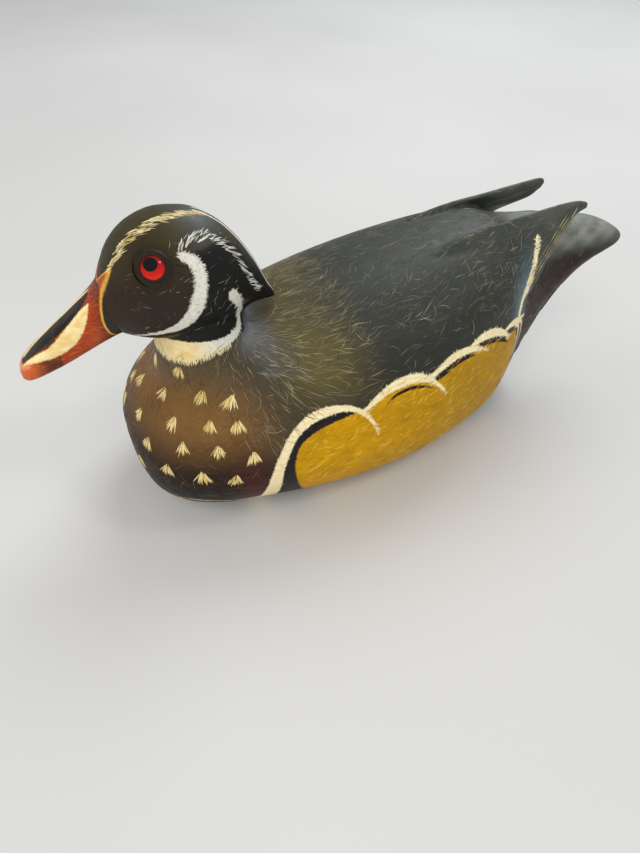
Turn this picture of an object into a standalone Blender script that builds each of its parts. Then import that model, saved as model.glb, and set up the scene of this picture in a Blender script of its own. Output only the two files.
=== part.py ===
"""Floating duck decoy: a hollow carved and painted wood duck with a recessed ring for its anchor line.

The duck faces -Y with its left side at +X, and stands on the flat underside of its bottom board at z = 0.
Shapes are drawn in millimetres and scaled to metres when a mesh is made.
"""
import math

import bmesh
import bpy
import numpy as np
from mathutils import Matrix, Vector

MM = 0.001
GAP = 0.3                     # clearance between pieces that touch
BOARD_THICK = 12.7            # half-inch bottom board
TAIL_JOINT_Y = 128.0          # butt joint of the tail insert
SEAT_Y, SEAT_Z, SEAT_SLOPE = -112.0, 87.0, 0.2    # neck seat: a plane that rises towards the back

EYE_R = 6.0                   # 12 mm glass eye
EYE_Y, EYE_Z = -111.0, 138.5
EYE_TURN_UP, EYE_TURN_FRONT = 34.0, 8.0            # which way the eye looks, in degrees

TIE_Y, TIE_Z = -72.0, 5.5     # hinge line of the anchor-line ring
TIE_RING_R, TIE_WIRE_R = 8.0, 1.1
TIE_REST = 14.0               # the ring's droop when the duck stands on a table, in degrees
STAPLE_REACH, STAPLE_WIRE_R = 3.0, 1.2
POCKET_FRONT, POCKET_BACK, POCKET_HALF, POCKET_DEEP = -99.0, -63.0, 12.0, 9.0

WEIGHT_Y, WEIGHT_LONG, WEIGHT_WIDE, WEIGHT_THICK = -8.0, 78.0, 30.0, 7.0
WEIGHT_SCREW_Y = 27.0         # each weight screw's distance from the weight's middle

SCREW_PLACES = {              # countersunk screws that hold the bottom board on
    "bottom_screw_front": (0.0, -106.0), "bottom_screw_rear": (0.0, 76.5),
    "bottom_screw_front_left": (29.0, -58.0), "bottom_screw_front_right": (-29.0, -58.0),
    "bottom_screw_rear_left": (26.0, 34.0), "bottom_screw_rear_right": (-26.0, 34.0),
}

# The body's cross-sections from breast to tail: y, top, bottom, half width, height of the widest
# point, half width of the flat base, fullness of the upper side.
BODY = [
    (-136.5, 40.0, 40.0, 0.0, 40.0, 0.0, 2.0),
    (-135.6, 47.5, 29.5, 15.0, 39.0, 0.0, 2.0),
    (-131.5, 56.0, 13.5, 30.5, 38.0, 0.0, 2.0),
    (-124.0, 65.0, 4.5, 42.0, 38.0, 0.0, 2.1),
    (-114.0, 72.5, 0.5, 50.0, 39.0, 4.0, 2.2),
    (-100.0, 80.5, 0.0, 56.0, 40.0, 12.5, 2.3),
    (-80.0, 89.5, 0.0, 60.0, 41.5, 20.0, 2.35),
    (-55.0, 97.0, 0.0, 63.5, 42.5, 28.0, 2.4),
    (-25.0, 104.5, 0.0, 65.5, 43.0, 32.0, 2.45),
    (5.0, 110.5, 0.0, 63.5, 44.5, 31.0, 2.5),
    (30.0, 114.5, 0.0, 57.5, 47.0, 28.0, 2.6),
    (50.0, 117.0, 0.0, 50.5, 50.0, 25.0, 2.7),
    (65.0, 118.0, 0.0, 44.0, 52.0, 21.5, 2.75),
    (80.0, 114.5, 0.0, 34.0, 56.0, 17.0, 2.6),
    (92.0, 113.2, 1.5, 25.5, 61.0, 8.0, 2.4),
    (104.0, 112.2, 13.0, 21.0, 67.0, 2.0, 2.3),
    (114.0, 110.2, 36.0, 18.5, 73.0, 0.0, 2.3),
    (124.0, 108.0, 54.5, 17.0, 79.5, 0.0, 2.3),
    (136.0, 104.5, 69.0, 16.0, 84.5, 0.0, 2.4),
    (148.0, 101.5, 77.0, 15.0, 88.0, 0.0, 2.5),
    (160.0, 97.0, 81.5, 13.0, 88.5, 0.0, 2.5),
    (168.0, 92.5, 84.0, 9.0, 88.0, 0.0, 2.3),
    (172.2, 89.5, 85.0, 4.5, 87.0, 0.0, 2.0),
    (173.5, 87.0, 87.0, 0.0, 87.0, 0.0, 2.0),
]
# The head from forehead to crest: y, top, bottom, half width, height of the widest point,
# fullness above and below it.
HEAD = [
    (-134.5, 116.0, 116.0, 0.0, 116.0, 2.0, 2.0),
    (-133.4, 123.0, 109.0, 8.5, 116.0, 2.1, 2.2),
    (-129.5, 132.5, 104.5, 14.5, 117.0, 2.1, 2.2),
    (-122.5, 143.0, 101.5, 20.0, 117.5, 2.2, 2.3),
    (-113.0, 149.7, 98.0, 24.2, 119.0, 2.2, 2.2),
    (-101.0, 152.8, 96.0, 25.8, 119.5, 2.1, 2.2),
    (-90.0, 151.5, 95.0, 25.0, 119.0, 2.0, 2.2),
    (-80.0, 146.5, 97.0, 21.5, 118.0, 1.9, 2.1),
    (-71.0, 137.5, 99.5, 15.5, 116.0, 1.8, 2.0),
    (-63.0, 125.0, 100.2, 9.5, 111.0, 1.7, 1.8),
    (-57.0, 112.0, 100.0, 5.0, 105.0, 1.7, 1.8),
    (-53.0, 103.5, 99.6, 2.0, 101.5, 2.0, 2.0),
    (-52.0, 101.0, 101.0, 0.0, 101.0, 2.0, 2.0),
]
# The neck from the shoulders up into the head: z, centre y, half length, half width.
NECK = [
    (58.0, -87.0, 36.0, 41.0),
    (72.0, -88.5, 29.0, 34.0),
    (84.0, -90.0, 24.0, 28.5),
    (92.0, -91.0, 22.0, 26.0),
    (102.0, -92.0, 20.5, 24.0),
    (116.0, -95.0, 19.5, 21.5),
]
# The bill from its seat in the head to its tip: y, top, bottom, half width, height of the widest
# point, fullness above and below it.
BILL = [
    (-122.0, 133.0, 104.0, 13.0, 112.0, 2.2, 2.2),
    (-128.0, 130.5, 103.5, 13.0, 111.5, 2.3, 2.3),
    (-135.0, 124.0, 101.0, 11.7, 109.0, 2.4, 2.4),
    (-145.0, 116.5, 96.5, 9.6, 104.0, 2.5, 2.5),
    (-155.0, 109.5, 93.0, 9.0, 99.0, 2.6, 2.6),
    (-164.0, 103.0, 91.0, 9.2, 95.5, 2.6, 2.6),
    (-170.0, 98.0, 90.0, 8.0, 93.0, 2.6, 2.6),
    (-172.7, 95.0, 90.0, 4.6, 92.0, 2.3, 2.3),
    (-173.5, 92.0, 92.0, 0.0, 92.0, 2.0, 2.0),
]
# A wing tip from its seat to its end: y, upper edge x and z, lower edge x and z, bulge, thickness.
WING = [
    (70.0, 13.0, 115.0, 36.5, 84.0, 5.0, 6.0),
    (84.0, 15.0, 120.0, 32.5, 85.0, 4.0, 6.0),
    (96.0, 16.0, 122.0, 26.5, 99.0, 3.0, 5.6),
    (106.0, 16.5, 123.4, 22.5, 110.5, 1.6, 4.8),
    (115.0, 17.0, 123.7, 20.3, 118.0, 0.8, 4.2),
    (121.0, 17.6, 123.0, 20.2, 120.5, 0.4, 3.6),
]


# ---------------------------------------------------------------- scene and material helpers

def clear_scene():
    for old in list(bpy.data.objects):
        bpy.data.objects.remove(old, do_unlink=True)


def new_collection(name):
    group = bpy.data.collections.new(name)
    bpy.context.scene.collection.children.link(group)
    return group


def new_material(name, color, roughness, metallic=0.0):
    material = bpy.data.materials.new(name)
    material.use_nodes = True
    shader = material.node_tree.nodes["Principled BSDF"]
    shader.inputs["Base Color"].default_value = (*color, 1.0)
    shader.inputs["Roughness"].default_value = roughness
    shader.inputs["Metallic"].default_value = metallic
    return material


def mesh_object(name, points, faces, group, material=None):
    mesh = bpy.data.meshes.new(name)
    mesh.from_pydata([tuple(c * MM for c in p) for p in points], [], faces)
    build = bmesh.new()
    build.from_mesh(mesh)
    bmesh.ops.recalc_face_normals(build, faces=build.faces)
    build.to_mesh(mesh)
    build.free()
    mesh.shade_smooth()
    mesh.set_sharp_from_angle(angle=math.radians(40))
    obj = bpy.data.objects.new(name, mesh)
    group.objects.link(obj)
    if material:
        mesh.materials.append(material)
    return obj


def as_cutter(obj):
    obj.hide_render = True
    obj.display_type = "WIRE"
    return obj


def cut(obj, tool, operation="DIFFERENCE"):
    step = obj.modifiers.new(operation.lower(), "BOOLEAN")
    step.operation = operation
    step.object = tool
    step.solver = "EXACT"


def mirror_halves(obj):
    step = obj.modifiers.new("both sides", "MIRROR")
    step.merge_threshold = 0.0001


# ---------------------------------------------------------------- curves and lofts

def smooth(xs, ys):
    """A curve through the points that never overshoots them, as a function of x."""
    xs = np.asarray(xs, float)
    ys = np.asarray(ys, float)
    step = np.diff(xs)
    slope = np.diff(ys) / step
    tangent = np.concatenate([slope[:1], np.zeros(len(xs) - 2), slope[-1:]])
    for i in range(1, len(xs) - 1):
        if slope[i - 1] * slope[i] > 0:
            before = 2 * step[i] + step[i - 1]
            after = step[i] + 2 * step[i - 1]
            tangent[i] = (before + after) / (before / slope[i - 1] + after / slope[i])

    def value(x):
        i = int(np.clip(np.searchsorted(xs, x) - 1, 0, len(step) - 1))
        h = step[i]
        t = (x - xs[i]) / h
        return ((2 * t**3 - 3 * t**2 + 1) * ys[i] + (t**3 - 2 * t**2 + t) * h * tangent[i]
                + (3 * t**2 - 2 * t**3) * ys[i + 1] + (t**3 - t**2) * h * tangent[i + 1])
    return value


def stations(table, between=0):
    """The table's rows, with extra rows laid evenly between them on smooth curves."""
    rows = np.array(table, float)
    along = np.concatenate([[0], np.cumsum(np.linalg.norm(np.diff(rows[:, :4], axis=0), axis=1))])
    columns = [smooth(along, rows[:, k]) for k in range(rows.shape[1])]
    places = [along[i] + (along[i + 1] - along[i]) * k / (between + 1)
              for i in range(len(rows) - 1) for k in range(between + 1)] + [along[-1]]
    return [[column(place) for column in columns] for place in places]


def quarter(count, fullness):
    """Quarter of a super-ellipse from its top to its side, as (across, up) pairs from 0 to 1."""
    angles = np.linspace(0, math.pi / 2, count)
    return [(math.sin(a) ** (2 / fullness), abs(math.cos(a)) ** (2 / fullness)) for a in angles]


def body_half_ring(row, upper=9, lower=6):
    """Half a body section, from the ridge round the flank to the middle of the flat base."""
    y, top, bottom, half, widest, base, fullness = row
    base = max(base, 1.0) if half > 0 else 0.0
    ring = [(half * across, y, widest + (top - widest) * up) for across, up in quarter(upper, fullness)]
    ring += [(base + (half - base) * up, y, widest - (widest - bottom) * across)
             for across, up in quarter(lower, 1.8)[1:]]
    ring.append((0.0, y, bottom))
    return ring


def egg_half_ring(row, upper=8, lower=7):
    """Half of a head or bill section, from its top to its underside."""
    y, top, bottom, half, widest, above, below = row
    ring = [(half * across, y, widest + (top - widest) * up) for across, up in quarter(upper, above)]
    ring += [(half * up, y, widest - (widest - bottom) * across)
             for across, up in quarter(lower, below)[1:]]
    return ring


def loft(rings, closed=False, cap_ends=False):
    """Points and faces of a surface over rings; a ring that has shrunk to a point becomes a pole."""
    points, index = [], []
    for ring in rings:
        spread = max(abs(a - b) for p in ring for a, b in zip(p, ring[0]))
        if spread < 1e-6:
            index.append([len(points)] * len(ring))
            points.append(ring[0])
        else:
            index.append(list(range(len(points), len(points) + len(ring))))
            points.extend(ring)
    faces = []
    for low, high in zip(index, index[1:]):
        count = len(low) if closed else len(low) - 1
        for j in range(count):
            k = (j + 1) % len(low)
            corners = []
            for corner in (low[j], low[k], high[k], high[j]):
                if corner not in corners:
                    corners.append(corner)
            if len(corners) > 2:
                faces.append(corners)
    if cap_ends:
        faces += [end for end in (index[0], index[-1]) if len(set(end)) > 2]
    return points, faces


def mirrored_loft(name, rings, group, material=None):
    obj = mesh_object(name, *loft(rings), group, material)
    mirror_halves(obj)
    return obj


def half_capped_loft(name, rings, group, material=None):
    """A mirrored loft whose first and last sections are flat."""
    obj = mesh_object(name, *loft(rings, cap_ends=True), group, material)
    mirror_halves(obj)
    return obj


# ---------------------------------------------------------------- simple solids

def box(name, low, high, group, material=None):
    build = bmesh.new()
    bmesh.ops.create_cube(build, size=1.0)
    size = Vector(high) - Vector(low)
    middle = (Vector(high) + Vector(low)) / 2
    bmesh.ops.scale(build, vec=size * MM, verts=build.verts)
    bmesh.ops.translate(build, vec=middle * MM, verts=build.verts)
    return finish_bmesh(name, build, group, material)


def finish_bmesh(name, build, group, material=None):
    mesh = bpy.data.meshes.new(name)
    build.to_mesh(mesh)
    build.free()
    mesh.shade_smooth()
    mesh.set_sharp_from_angle(angle=math.radians(40))
    if material:
        mesh.materials.append(material)
    obj = bpy.data.objects.new(name, mesh)
    group.objects.link(obj)
    return obj


def turned(name, profile, group, material=None, steps=20):
    """A solid of revolution round Z: a profile of (radius, z) pairs that runs down its outer side.

    A profile that ends where it starts makes a ring.
    """
    closed = profile[0] == profile[-1]
    points = [(radius, 0.0, z) for radius, z in (profile[:-1] if closed else profile)]
    obj = mesh_object(name, points, [], group, material)
    build = bmesh.new()
    build.from_mesh(obj.data)
    build.verts.ensure_lookup_table()
    corners = list(build.verts)
    for a, b in zip(corners, corners[1:] + (corners[:1] if closed else [])):
        build.edges.new((a, b))
    build.to_mesh(obj.data)
    build.free()
    spin = obj.modifiers.new("turn", "SCREW")
    spin.axis = "Z"
    spin.steps = steps
    spin.render_steps = steps
    spin.use_merge_vertices = True
    spin.merge_threshold = 0.0001
    return obj


def rod(name, radius, start, end, group, material=None, steps=16):
    """A plain round rod between two points in millimetres."""
    start, end = Vector(start), Vector(end)
    length = (end - start).length
    chamfer = min(0.5, radius * 0.3)
    profile = [(0.0, length), (radius - chamfer, length), (radius, length - chamfer),
               (radius, chamfer), (radius - chamfer, 0.0), (0.0, 0.0)]
    obj = turned(name, profile, group, material, steps)
    obj.location = start * MM
    obj.rotation_euler = (end - start).to_track_quat("Z", "Y").to_euler()
    return obj


def wood_screw(name, place, length, shank, head_radius, group, material):
    """A countersunk wood screw that points up, its head's flat face at the given place."""
    head_deep = head_radius - shank
    profile = [(0.0, length), (shank * 0.35, length - shank * 1.6), (shank, length - shank * 4.0),
               (shank, head_deep), (head_radius, 0.35), (head_radius, 0.0), (0.0, 0.0)]
    obj = turned(name, profile, group, material)
    obj.location = Vector(place) * MM
    return obj


def screw_clearance(name, place, length, shank, head_radius, group):
    """The countersunk hole that a wood screw leaves, open below."""
    head_deep = head_radius - shank
    profile = [(0.0, length + GAP * 2), (shank + GAP, length - shank), (shank + GAP, head_deep + GAP),
               (head_radius + GAP, GAP), (head_radius + GAP, -5.0), (0.0, -5.0)]
    obj = turned(name, profile, group)
    obj.location = Vector(place) * MM
    return as_cutter(obj)


# ---------------------------------------------------------------- shapes shared by pieces

def grown_row(row, gap):
    """A head, bill or body row with its section larger all round by the gap."""
    y, top, bottom, half, widest, *rest = row
    if half == 0.0:
        return row
    return [y, top + gap, bottom - gap, half + gap, widest, *rest]


def body_loft(name, group, material=None):
    return mirrored_loft(name, [body_half_ring(row) for row in stations(BODY)], group, material)


def neck_loft(name, group):
    rings = []
    for z, y, long_half, wide_half in stations(NECK, 1):
        angles = np.linspace(0, math.pi, 11)
        rings.append([(wide_half * math.sin(a) if 0 < a < math.pi else 0.0, y - long_half * math.cos(a), z)
                      for a in angles])
    return half_capped_loft(name, rings, group)


def wing_ring(row, grow=0.0):
    """One wing section: the outer face from the upper edge to the lower one, and the inner face back."""
    y, upper_x, upper_z, lower_x, lower_z, bulge, thickness = row
    upper = Vector((upper_x, upper_z))
    along = Vector((lower_x, lower_z)) - upper
    outward = Vector((-along.y, along.x)).normalized()
    if outward.y < 0:
        outward.negate()
    along_unit = along.normalized()
    ring = []
    fractions = (0.0, 0.12, 0.35, 0.65, 0.88, 1.0)
    for t in fractions:
        edge = grow * (2 * t - 1)
        point = upper + along * t + along_unit * edge + outward * (4 * bulge * t * (1 - t) + grow)
        ring.append((point.x, y, point.y))
    for t in reversed(fractions):
        edge = grow * (2 * t - 1)
        depth = thickness * (0.55 if t in (0.0, 1.0) else 1.0) + grow
        point = upper + along * t + along_unit * edge + outward * (4 * bulge * t * (1 - t) - depth)
        ring.append((point.x, y, point.y))
    return ring


def wing_solid(name, side, group, material=None, grow=0.0):
    rows = stations(WING, 1)
    rows[0][0] -= grow
    rows[-1][0] += grow
    rings = [[(side * x, y, z) for x, y, z in wing_ring(row, grow)] for row in rows]
    return mesh_object(name, *loft(rings, closed=True, cap_ends=True), group, material)


def seat_height(y):
    return SEAT_Z + SEAT_SLOPE * (y - SEAT_Y)


def seat_block(name, above, clearance, group):
    """A large wedge that fills the space above, or below, the neck seat plane."""
    front, back, side = -150.0, -40.0, 60.0
    limit = 190.0 if above else 20.0
    edge = [(front, seat_height(front) + clearance), (back, seat_height(back) + clearance),
            (back, limit), (front, limit)]
    points = [(x, y, z) for x in (-side, side) for y, z in edge]
    faces = [(0, 1, 2, 3), (4, 5, 6, 7), (0, 1, 5, 4), (1, 2, 6, 5), (2, 3, 7, 6), (3, 0, 4, 7)]
    return as_cutter(mesh_object(name, points, faces, group))


def eye_frame(side):
    """The eye's placing: its local Z looks out of the head."""
    up = math.radians(EYE_TURN_UP)
    front = math.radians(EYE_TURN_FRONT)
    out = Vector((side * math.cos(up) * math.cos(front), -math.cos(up) * math.sin(front), math.sin(up)))
    surface = Vector((side * EYE_X, EYE_Y, EYE_Z))
    return Matrix.Translation(surface * MM) @ out.to_track_quat("Z", "Y").to_matrix().to_4x4()


def head_side_at(y, z):
    """Half width of the head at a place on its upper side."""
    rows = stations(HEAD, 8)
    y_, top, bottom, half, widest, above, below = min(rows, key=lambda row: abs(row[0] - y))
    return half * (1 - ((z - widest) / (top - widest)) ** above) ** (1 / above)


EYE_X = head_side_at(EYE_Y, EYE_Z)


# ---------------------------------------------------------------- the pieces

def make_body_upper(parts, tools, wood):
    body = body_loft("body_upper", parts, wood)
    stump = neck_loft("neck_stump", tools)
    cut(stump, seat_block("above_seat", True, 0.0, tools))
    cut(body, as_cutter(stump), "UNION")
    cut(body, as_cutter(box("below_seam", (-90, -150, -20), (90, 150, BOARD_THICK + GAP), tools)))
    cut(body, as_cutter(box("behind_tail_joint", (-40, TAIL_JOINT_Y, 0), (40, 190, 160), tools)))
    cavity_rows = []
    for y, top, bottom, half, widest, base, fullness in BODY[4:13]:
        cavity_rows.append([y + 4.0, top - 19.0, -4.0, half * 0.66, widest - 4.0, base * 0.62, fullness])
    rings = [body_half_ring(row, 6, 4) for row in cavity_rows]
    cut(body, as_cutter(half_capped_loft("cavity", rings, tools)))
    return body


def make_bottom_board(parts, tools, wood):
    board = body_loft("bottom_board", parts, wood)
    cut(board, as_cutter(box("above_seam", (-90, -150, BOARD_THICK), (90, 190, 170), tools)))
    weight_low = (-WEIGHT_WIDE / 2 - GAP, WEIGHT_Y - WEIGHT_LONG / 2 - GAP, -5.0)
    weight_high = (WEIGHT_WIDE / 2 + GAP, WEIGHT_Y + WEIGHT_LONG / 2 + GAP, WEIGHT_THICK + 0.5 + GAP)
    cut(board, as_cutter(box("weight_recess", weight_low, weight_high, tools)))
    pocket = as_cutter(box("tie_pocket", (-POCKET_HALF, POCKET_FRONT, -5.0),
                           (POCKET_HALF, POCKET_BACK, POCKET_DEEP), tools))
    cut(board, pocket)
    return board


def make_bottom_screws(parts, tools, brass, pieces):
    for name, (x, y) in SCREW_PLACES.items():
        wood_screw(name, (x, y, 0.5), 32.0, 2.0, 4.2, parts, brass)
        hole = screw_clearance(name + "_hole", (x, y, 0.5), 32.0, 2.0, 4.2, tools)
        cut(pieces["bottom_board"], hole)
        cut(pieces["body_upper"], hole)


def make_head(parts, tools, wood):
    head = mirrored_loft("head", [egg_half_ring(row) for row in stations(HEAD, 1)], parts, wood)
    cut(head, as_cutter(neck_loft("neck_in_head", tools)), "UNION")
    cut(head, seat_block("below_seat", False, GAP, tools))
    socket_rings = [egg_half_ring(grown_row(row, GAP)) for row in stations(BILL, 1)]
    socket_rings.insert(0, [(x, y + GAP, z) for x, y, z in socket_rings[0]])
    cut(head, as_cutter(half_capped_loft("bill_socket", socket_rings, tools)))
    return head


def make_bill(parts, wood):
    return half_capped_loft("bill", [egg_half_ring(row) for row in stations(BILL, 1)], parts, wood)


def make_eye(side, label, parts, tools, glass, putty, head):
    """A glass eye bedded in a ring of putty that stands a little proud of the head, as eyelids do."""
    place = eye_frame(side)
    dome = [(EYE_R * math.sin(a), 3.4 * math.cos(a) - 1.0) for a in np.linspace(0, math.pi / 2, 9)]
    eye = turned(label + "_eye", dome + [(EYE_R, -2.4), (EYE_R - 1.0, -4.4), (0.0, -4.4)],
                 parts, glass, 24)
    eye.matrix_world = place
    inner, outer = EYE_R + GAP, EYE_R + GAP + 1.3
    ring = turned(label + "_eye_putty",
                  [(inner, -4.2), (inner, -0.4), (inner + 0.4, 0.3), (outer - 0.4, 0.3), (outer, -0.4),
                   (outer, -4.2), (inner, -4.2)], parts, putty, 24)
    ring.matrix_world = place
    bore = turned(label + "_eye_socket", [(0.0, 12.0), (outer + GAP, 12.0), (outer + GAP, -4.8), (0.0, -4.8)],
                  tools, None, 24)
    bore.matrix_world = place
    cut(head, as_cutter(bore))


def make_neck_fixings(parts, tools, wood, steel, pieces):
    """A long screw and a dowel that hold the head down on its seat, put in from inside the body."""
    screw_y, bore_top = -98.0, 60.0
    washer_thick, head_radius, shank = 1.6, 4.6, 2.4
    under_head = bore_top - GAP - washer_thick - GAP
    profile = [(0.0, 64.0), (0.9, 60.0), (shank, 54.0), (shank, 0.0), (head_radius, 0.0),
               (head_radius * 0.9, -2.2), (head_radius * 0.5, -3.2), (0.0, -3.2)]
    screw = turned("neck_screw", profile, parts, steel)
    screw.location = Vector((0.0, screw_y, under_head)) * MM
    washer = turned("neck_screw_washer", [(shank + GAP, 0.0), (shank + GAP, washer_thick), (8.0, washer_thick),
                                          (8.0, 0.0), (shank + GAP, 0.0)], parts, steel)
    washer.location = Vector((0.0, screw_y, under_head + GAP)) * MM
    bore = turned("neck_screw_bore", [(0.0, 125.0), (shank + GAP, 122.0), (shank + GAP, bore_top),
                                      (9.0, bore_top), (9.0, 8.0), (0.0, 8.0)], tools)
    bore.location = Vector((0.0, screw_y, 0.0)) * MM
    as_cutter(bore)
    cut(pieces["body_upper"], bore)
    cut(pieces["head"], bore)
    dowel_y, dowel_r = -81.0, 4.8
    rod("neck_dowel", dowel_r, (0, dowel_y, 76), (0, dowel_y, 118), parts, wood)
    hole = rod("neck_dowel_hole", dowel_r + GAP, (0, dowel_y, 76 - GAP), (0, dowel_y, 118 + GAP), tools)
    as_cutter(hole)
    cut(pieces["body_upper"], hole)
    cut(pieces["head"], hole)


def make_peg(name, radius, start, end, parts, tools, wood, hosts):
    """A dowel and the blind holes for it in the pieces that it joins."""
    rod(name, radius, start, end, parts, wood)
    direction = (Vector(end) - Vector(start)).normalized()
    hole = rod(name + "_hole", radius + GAP, Vector(start) - direction * GAP * 2,
               Vector(end) + direction * GAP * 2, tools)
    as_cutter(hole)
    for host in hosts:
        cut(host, hole)


def make_tail(parts, tools, wood):
    tail = body_loft("tail_insert", parts, wood)
    cut(tail, as_cutter(box("before_tail_joint", (-90, -160, -20), (90, TAIL_JOINT_Y + GAP, 170), tools)))
    return tail


def make_wing_tips(parts, tools, wood, body):
    tips = {}
    for side, label in ((1, "left"), (-1, "right")):
        tips[label] = wing_solid(label + "_wing_tip", side, parts, wood)
        cut(body, as_cutter(wing_solid(label + "_wing_seat", side, tools, grow=GAP)))
    return tips


def make_weight(parts, tools, lead, brass, board):
    low = (-WEIGHT_WIDE / 2, WEIGHT_Y - WEIGHT_LONG / 2, 0.5)
    high = (WEIGHT_WIDE / 2, WEIGHT_Y + WEIGHT_LONG / 2, 0.5 + WEIGHT_THICK)
    weight = box("ballast_weight", low, high, parts, lead)
    edge = weight.modifiers.new("cast edges", "BEVEL")
    edge.width = 1.2 * MM
    edge.segments = 2
    for label, shift in (("front", -WEIGHT_SCREW_Y), ("rear", WEIGHT_SCREW_Y)):
        place = (0.0, WEIGHT_Y + shift, 0.8)
        name = "weight_screw_" + label
        wood_screw(name, place, 11.0, 1.6, 3.4, parts, brass)
        hole = screw_clearance(name + "_hole", place, 11.0, 1.6, 3.4, tools)
        cut(weight, hole)
        cut(board, hole)


def wire(name, route, radius, group, material=None, cyclic=False):
    """A round wire along points in millimetres, as a closed mesh."""
    curve = bpy.data.curves.new(name, "CURVE")
    curve.dimensions = "3D"
    spline = curve.splines.new("POLY")
    spline.points.add(len(route) - 1)
    for point, place in zip(spline.points, route):
        point.co = (*(c * MM for c in place), 1.0)
    spline.use_cyclic_u = cyclic
    curve.bevel_depth = radius * MM
    curve.bevel_resolution = 2
    curve.use_fill_caps = not cyclic
    drawn = bpy.data.objects.new(name + "_curve", curve)
    group.objects.link(drawn)
    bpy.context.view_layer.update()
    evaluated = drawn.evaluated_get(bpy.context.evaluated_depsgraph_get())
    mesh = bpy.data.meshes.new_from_object(evaluated)
    build = bmesh.new()
    build.from_mesh(mesh)
    bmesh.ops.remove_doubles(build, verts=build.verts, dist=0.00001)
    bmesh.ops.recalc_face_normals(build, faces=build.faces)
    build.to_mesh(mesh)
    build.free()
    mesh.materials.clear()
    if material:
        mesh.materials.append(material)
    mesh.shade_smooth()
    obj = bpy.data.objects.new(name, mesh)
    obj.matrix_world = drawn.matrix_world
    group.objects.link(obj)
    bpy.data.objects.remove(drawn)
    return obj


def staple_route(reach, top):
    """A staple in the plane x = 0: one leg, the bend under the ring, and the other leg."""
    bend = [(0.0, TIE_Y - reach * math.cos(a), TIE_Z - reach * math.sin(a))
            for a in np.linspace(0, math.pi, 9)]
    return [(0.0, TIE_Y - reach, top)] + bend + [(0.0, TIE_Y + reach, top)]


def make_line_tie(parts, tools, brass, board):
    wire("line_tie_staple", staple_route(STAPLE_REACH, BOARD_THICK - 0.6), STAPLE_WIRE_R, parts, brass)
    for leg in (-STAPLE_REACH, STAPLE_REACH):
        hole = rod("staple_leg_hole", STAPLE_WIRE_R + GAP, (0, TIE_Y + leg, 5), (0, TIE_Y + leg, 15), tools)
        cut(board, as_cutter(hole))
    turn = [2 * math.pi * i / 28 for i in range(28)]
    route = [(TIE_RING_R * math.sin(a), -TIE_RING_R + TIE_RING_R * math.cos(a), 0.0) for a in turn]
    ring = wire("line_tie_ring", route, TIE_WIRE_R, parts, brass, cyclic=True)
    ring.location = Vector((0.0, TIE_Y, TIE_Z)) * MM
    ring.rotation_euler = (math.radians(TIE_REST), 0.0, 0.0)


def main():
    clear_scene()
    parts = new_collection("duck_decoy")
    tools = new_collection("cutters")
    charcoal = new_material("charcoal paint on wood", (0.045, 0.045, 0.04), 0.45)
    head_paint = new_material("black and olive paint on wood", (0.025, 0.024, 0.018), 0.4)
    bill_paint = new_material("red-orange paint on wood", (0.42, 0.07, 0.02), 0.4)
    board_paint = new_material("brown paint on wood", (0.05, 0.025, 0.015), 0.55)
    tail_paint = new_material("grey paint on wood", (0.07, 0.07, 0.065), 0.5)
    dowel_wood = new_material("birch dowel", (0.55, 0.4, 0.24), 0.7)
    glass = new_material("red glass", (0.6, 0.01, 0.01), 0.05)
    putty = new_material("black putty", (0.01, 0.01, 0.01), 0.5)
    brass = new_material("brass", (0.6, 0.42, 0.16), 0.35, 1.0)
    steel = new_material("zinc-plated steel", (0.5, 0.5, 0.5), 0.35, 1.0)
    lead = new_material("cast lead", (0.16, 0.16, 0.17), 0.6, 1.0)

    body = make_body_upper(parts, tools, charcoal)
    board = make_bottom_board(parts, tools, board_paint)
    head = make_head(parts, tools, head_paint)
    bill = make_bill(parts, bill_paint)
    tail = make_tail(parts, tools, tail_paint)
    pieces = {"body_upper": body, "bottom_board": board, "head": head}
    make_bottom_screws(parts, tools, brass, pieces)
    make_eye(1, "left", parts, tools, glass, putty, head)
    make_eye(-1, "right", parts, tools, glass, putty, head)
    make_neck_fixings(parts, tools, dowel_wood, steel, pieces)
    make_peg("bill_dowel", 3.0, (0, -134, 112), (0, -112, 112), parts, tools, dowel_wood, (bill, head))
    tips = make_wing_tips(parts, tools, charcoal, body)
    for side, label in ((1, "left"), (-1, "right")):
        make_peg(label + "_tail_dowel", 2.5, (side * 6, 114, 88), (side * 6, 144, 88), parts, tools,
                 dowel_wood, (body, tail))
        make_peg(label + "_wing_dowel", 1.4, (side * 24.6, 58, 101.5), (side * 24.6, 80, 101.5), parts, tools,
                 dowel_wood, (body, tips[label]))
    make_weight(parts, tools, lead, brass, board)
    make_line_tie(parts, tools, brass, board)


main()
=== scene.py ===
"""Looks of the floating duck decoy: carved and painted wood, glass eyes and bottom hardware.

The shapes repeat the CAD part's driving tables in millimetres and refine them. Paint is laid on in three
ways: ground colours stored at the mesh's points, the markings' distance fields, which the shader turns into
brushed edges, and thin raised brush strokes that follow the surface. The duck faces -Y, its left side at +X.
"""
import math
import random

import bmesh
import bpy
import numpy as np
from mathutils import Matrix, Vector
from mathutils.bvhtree import BVHTree


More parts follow.
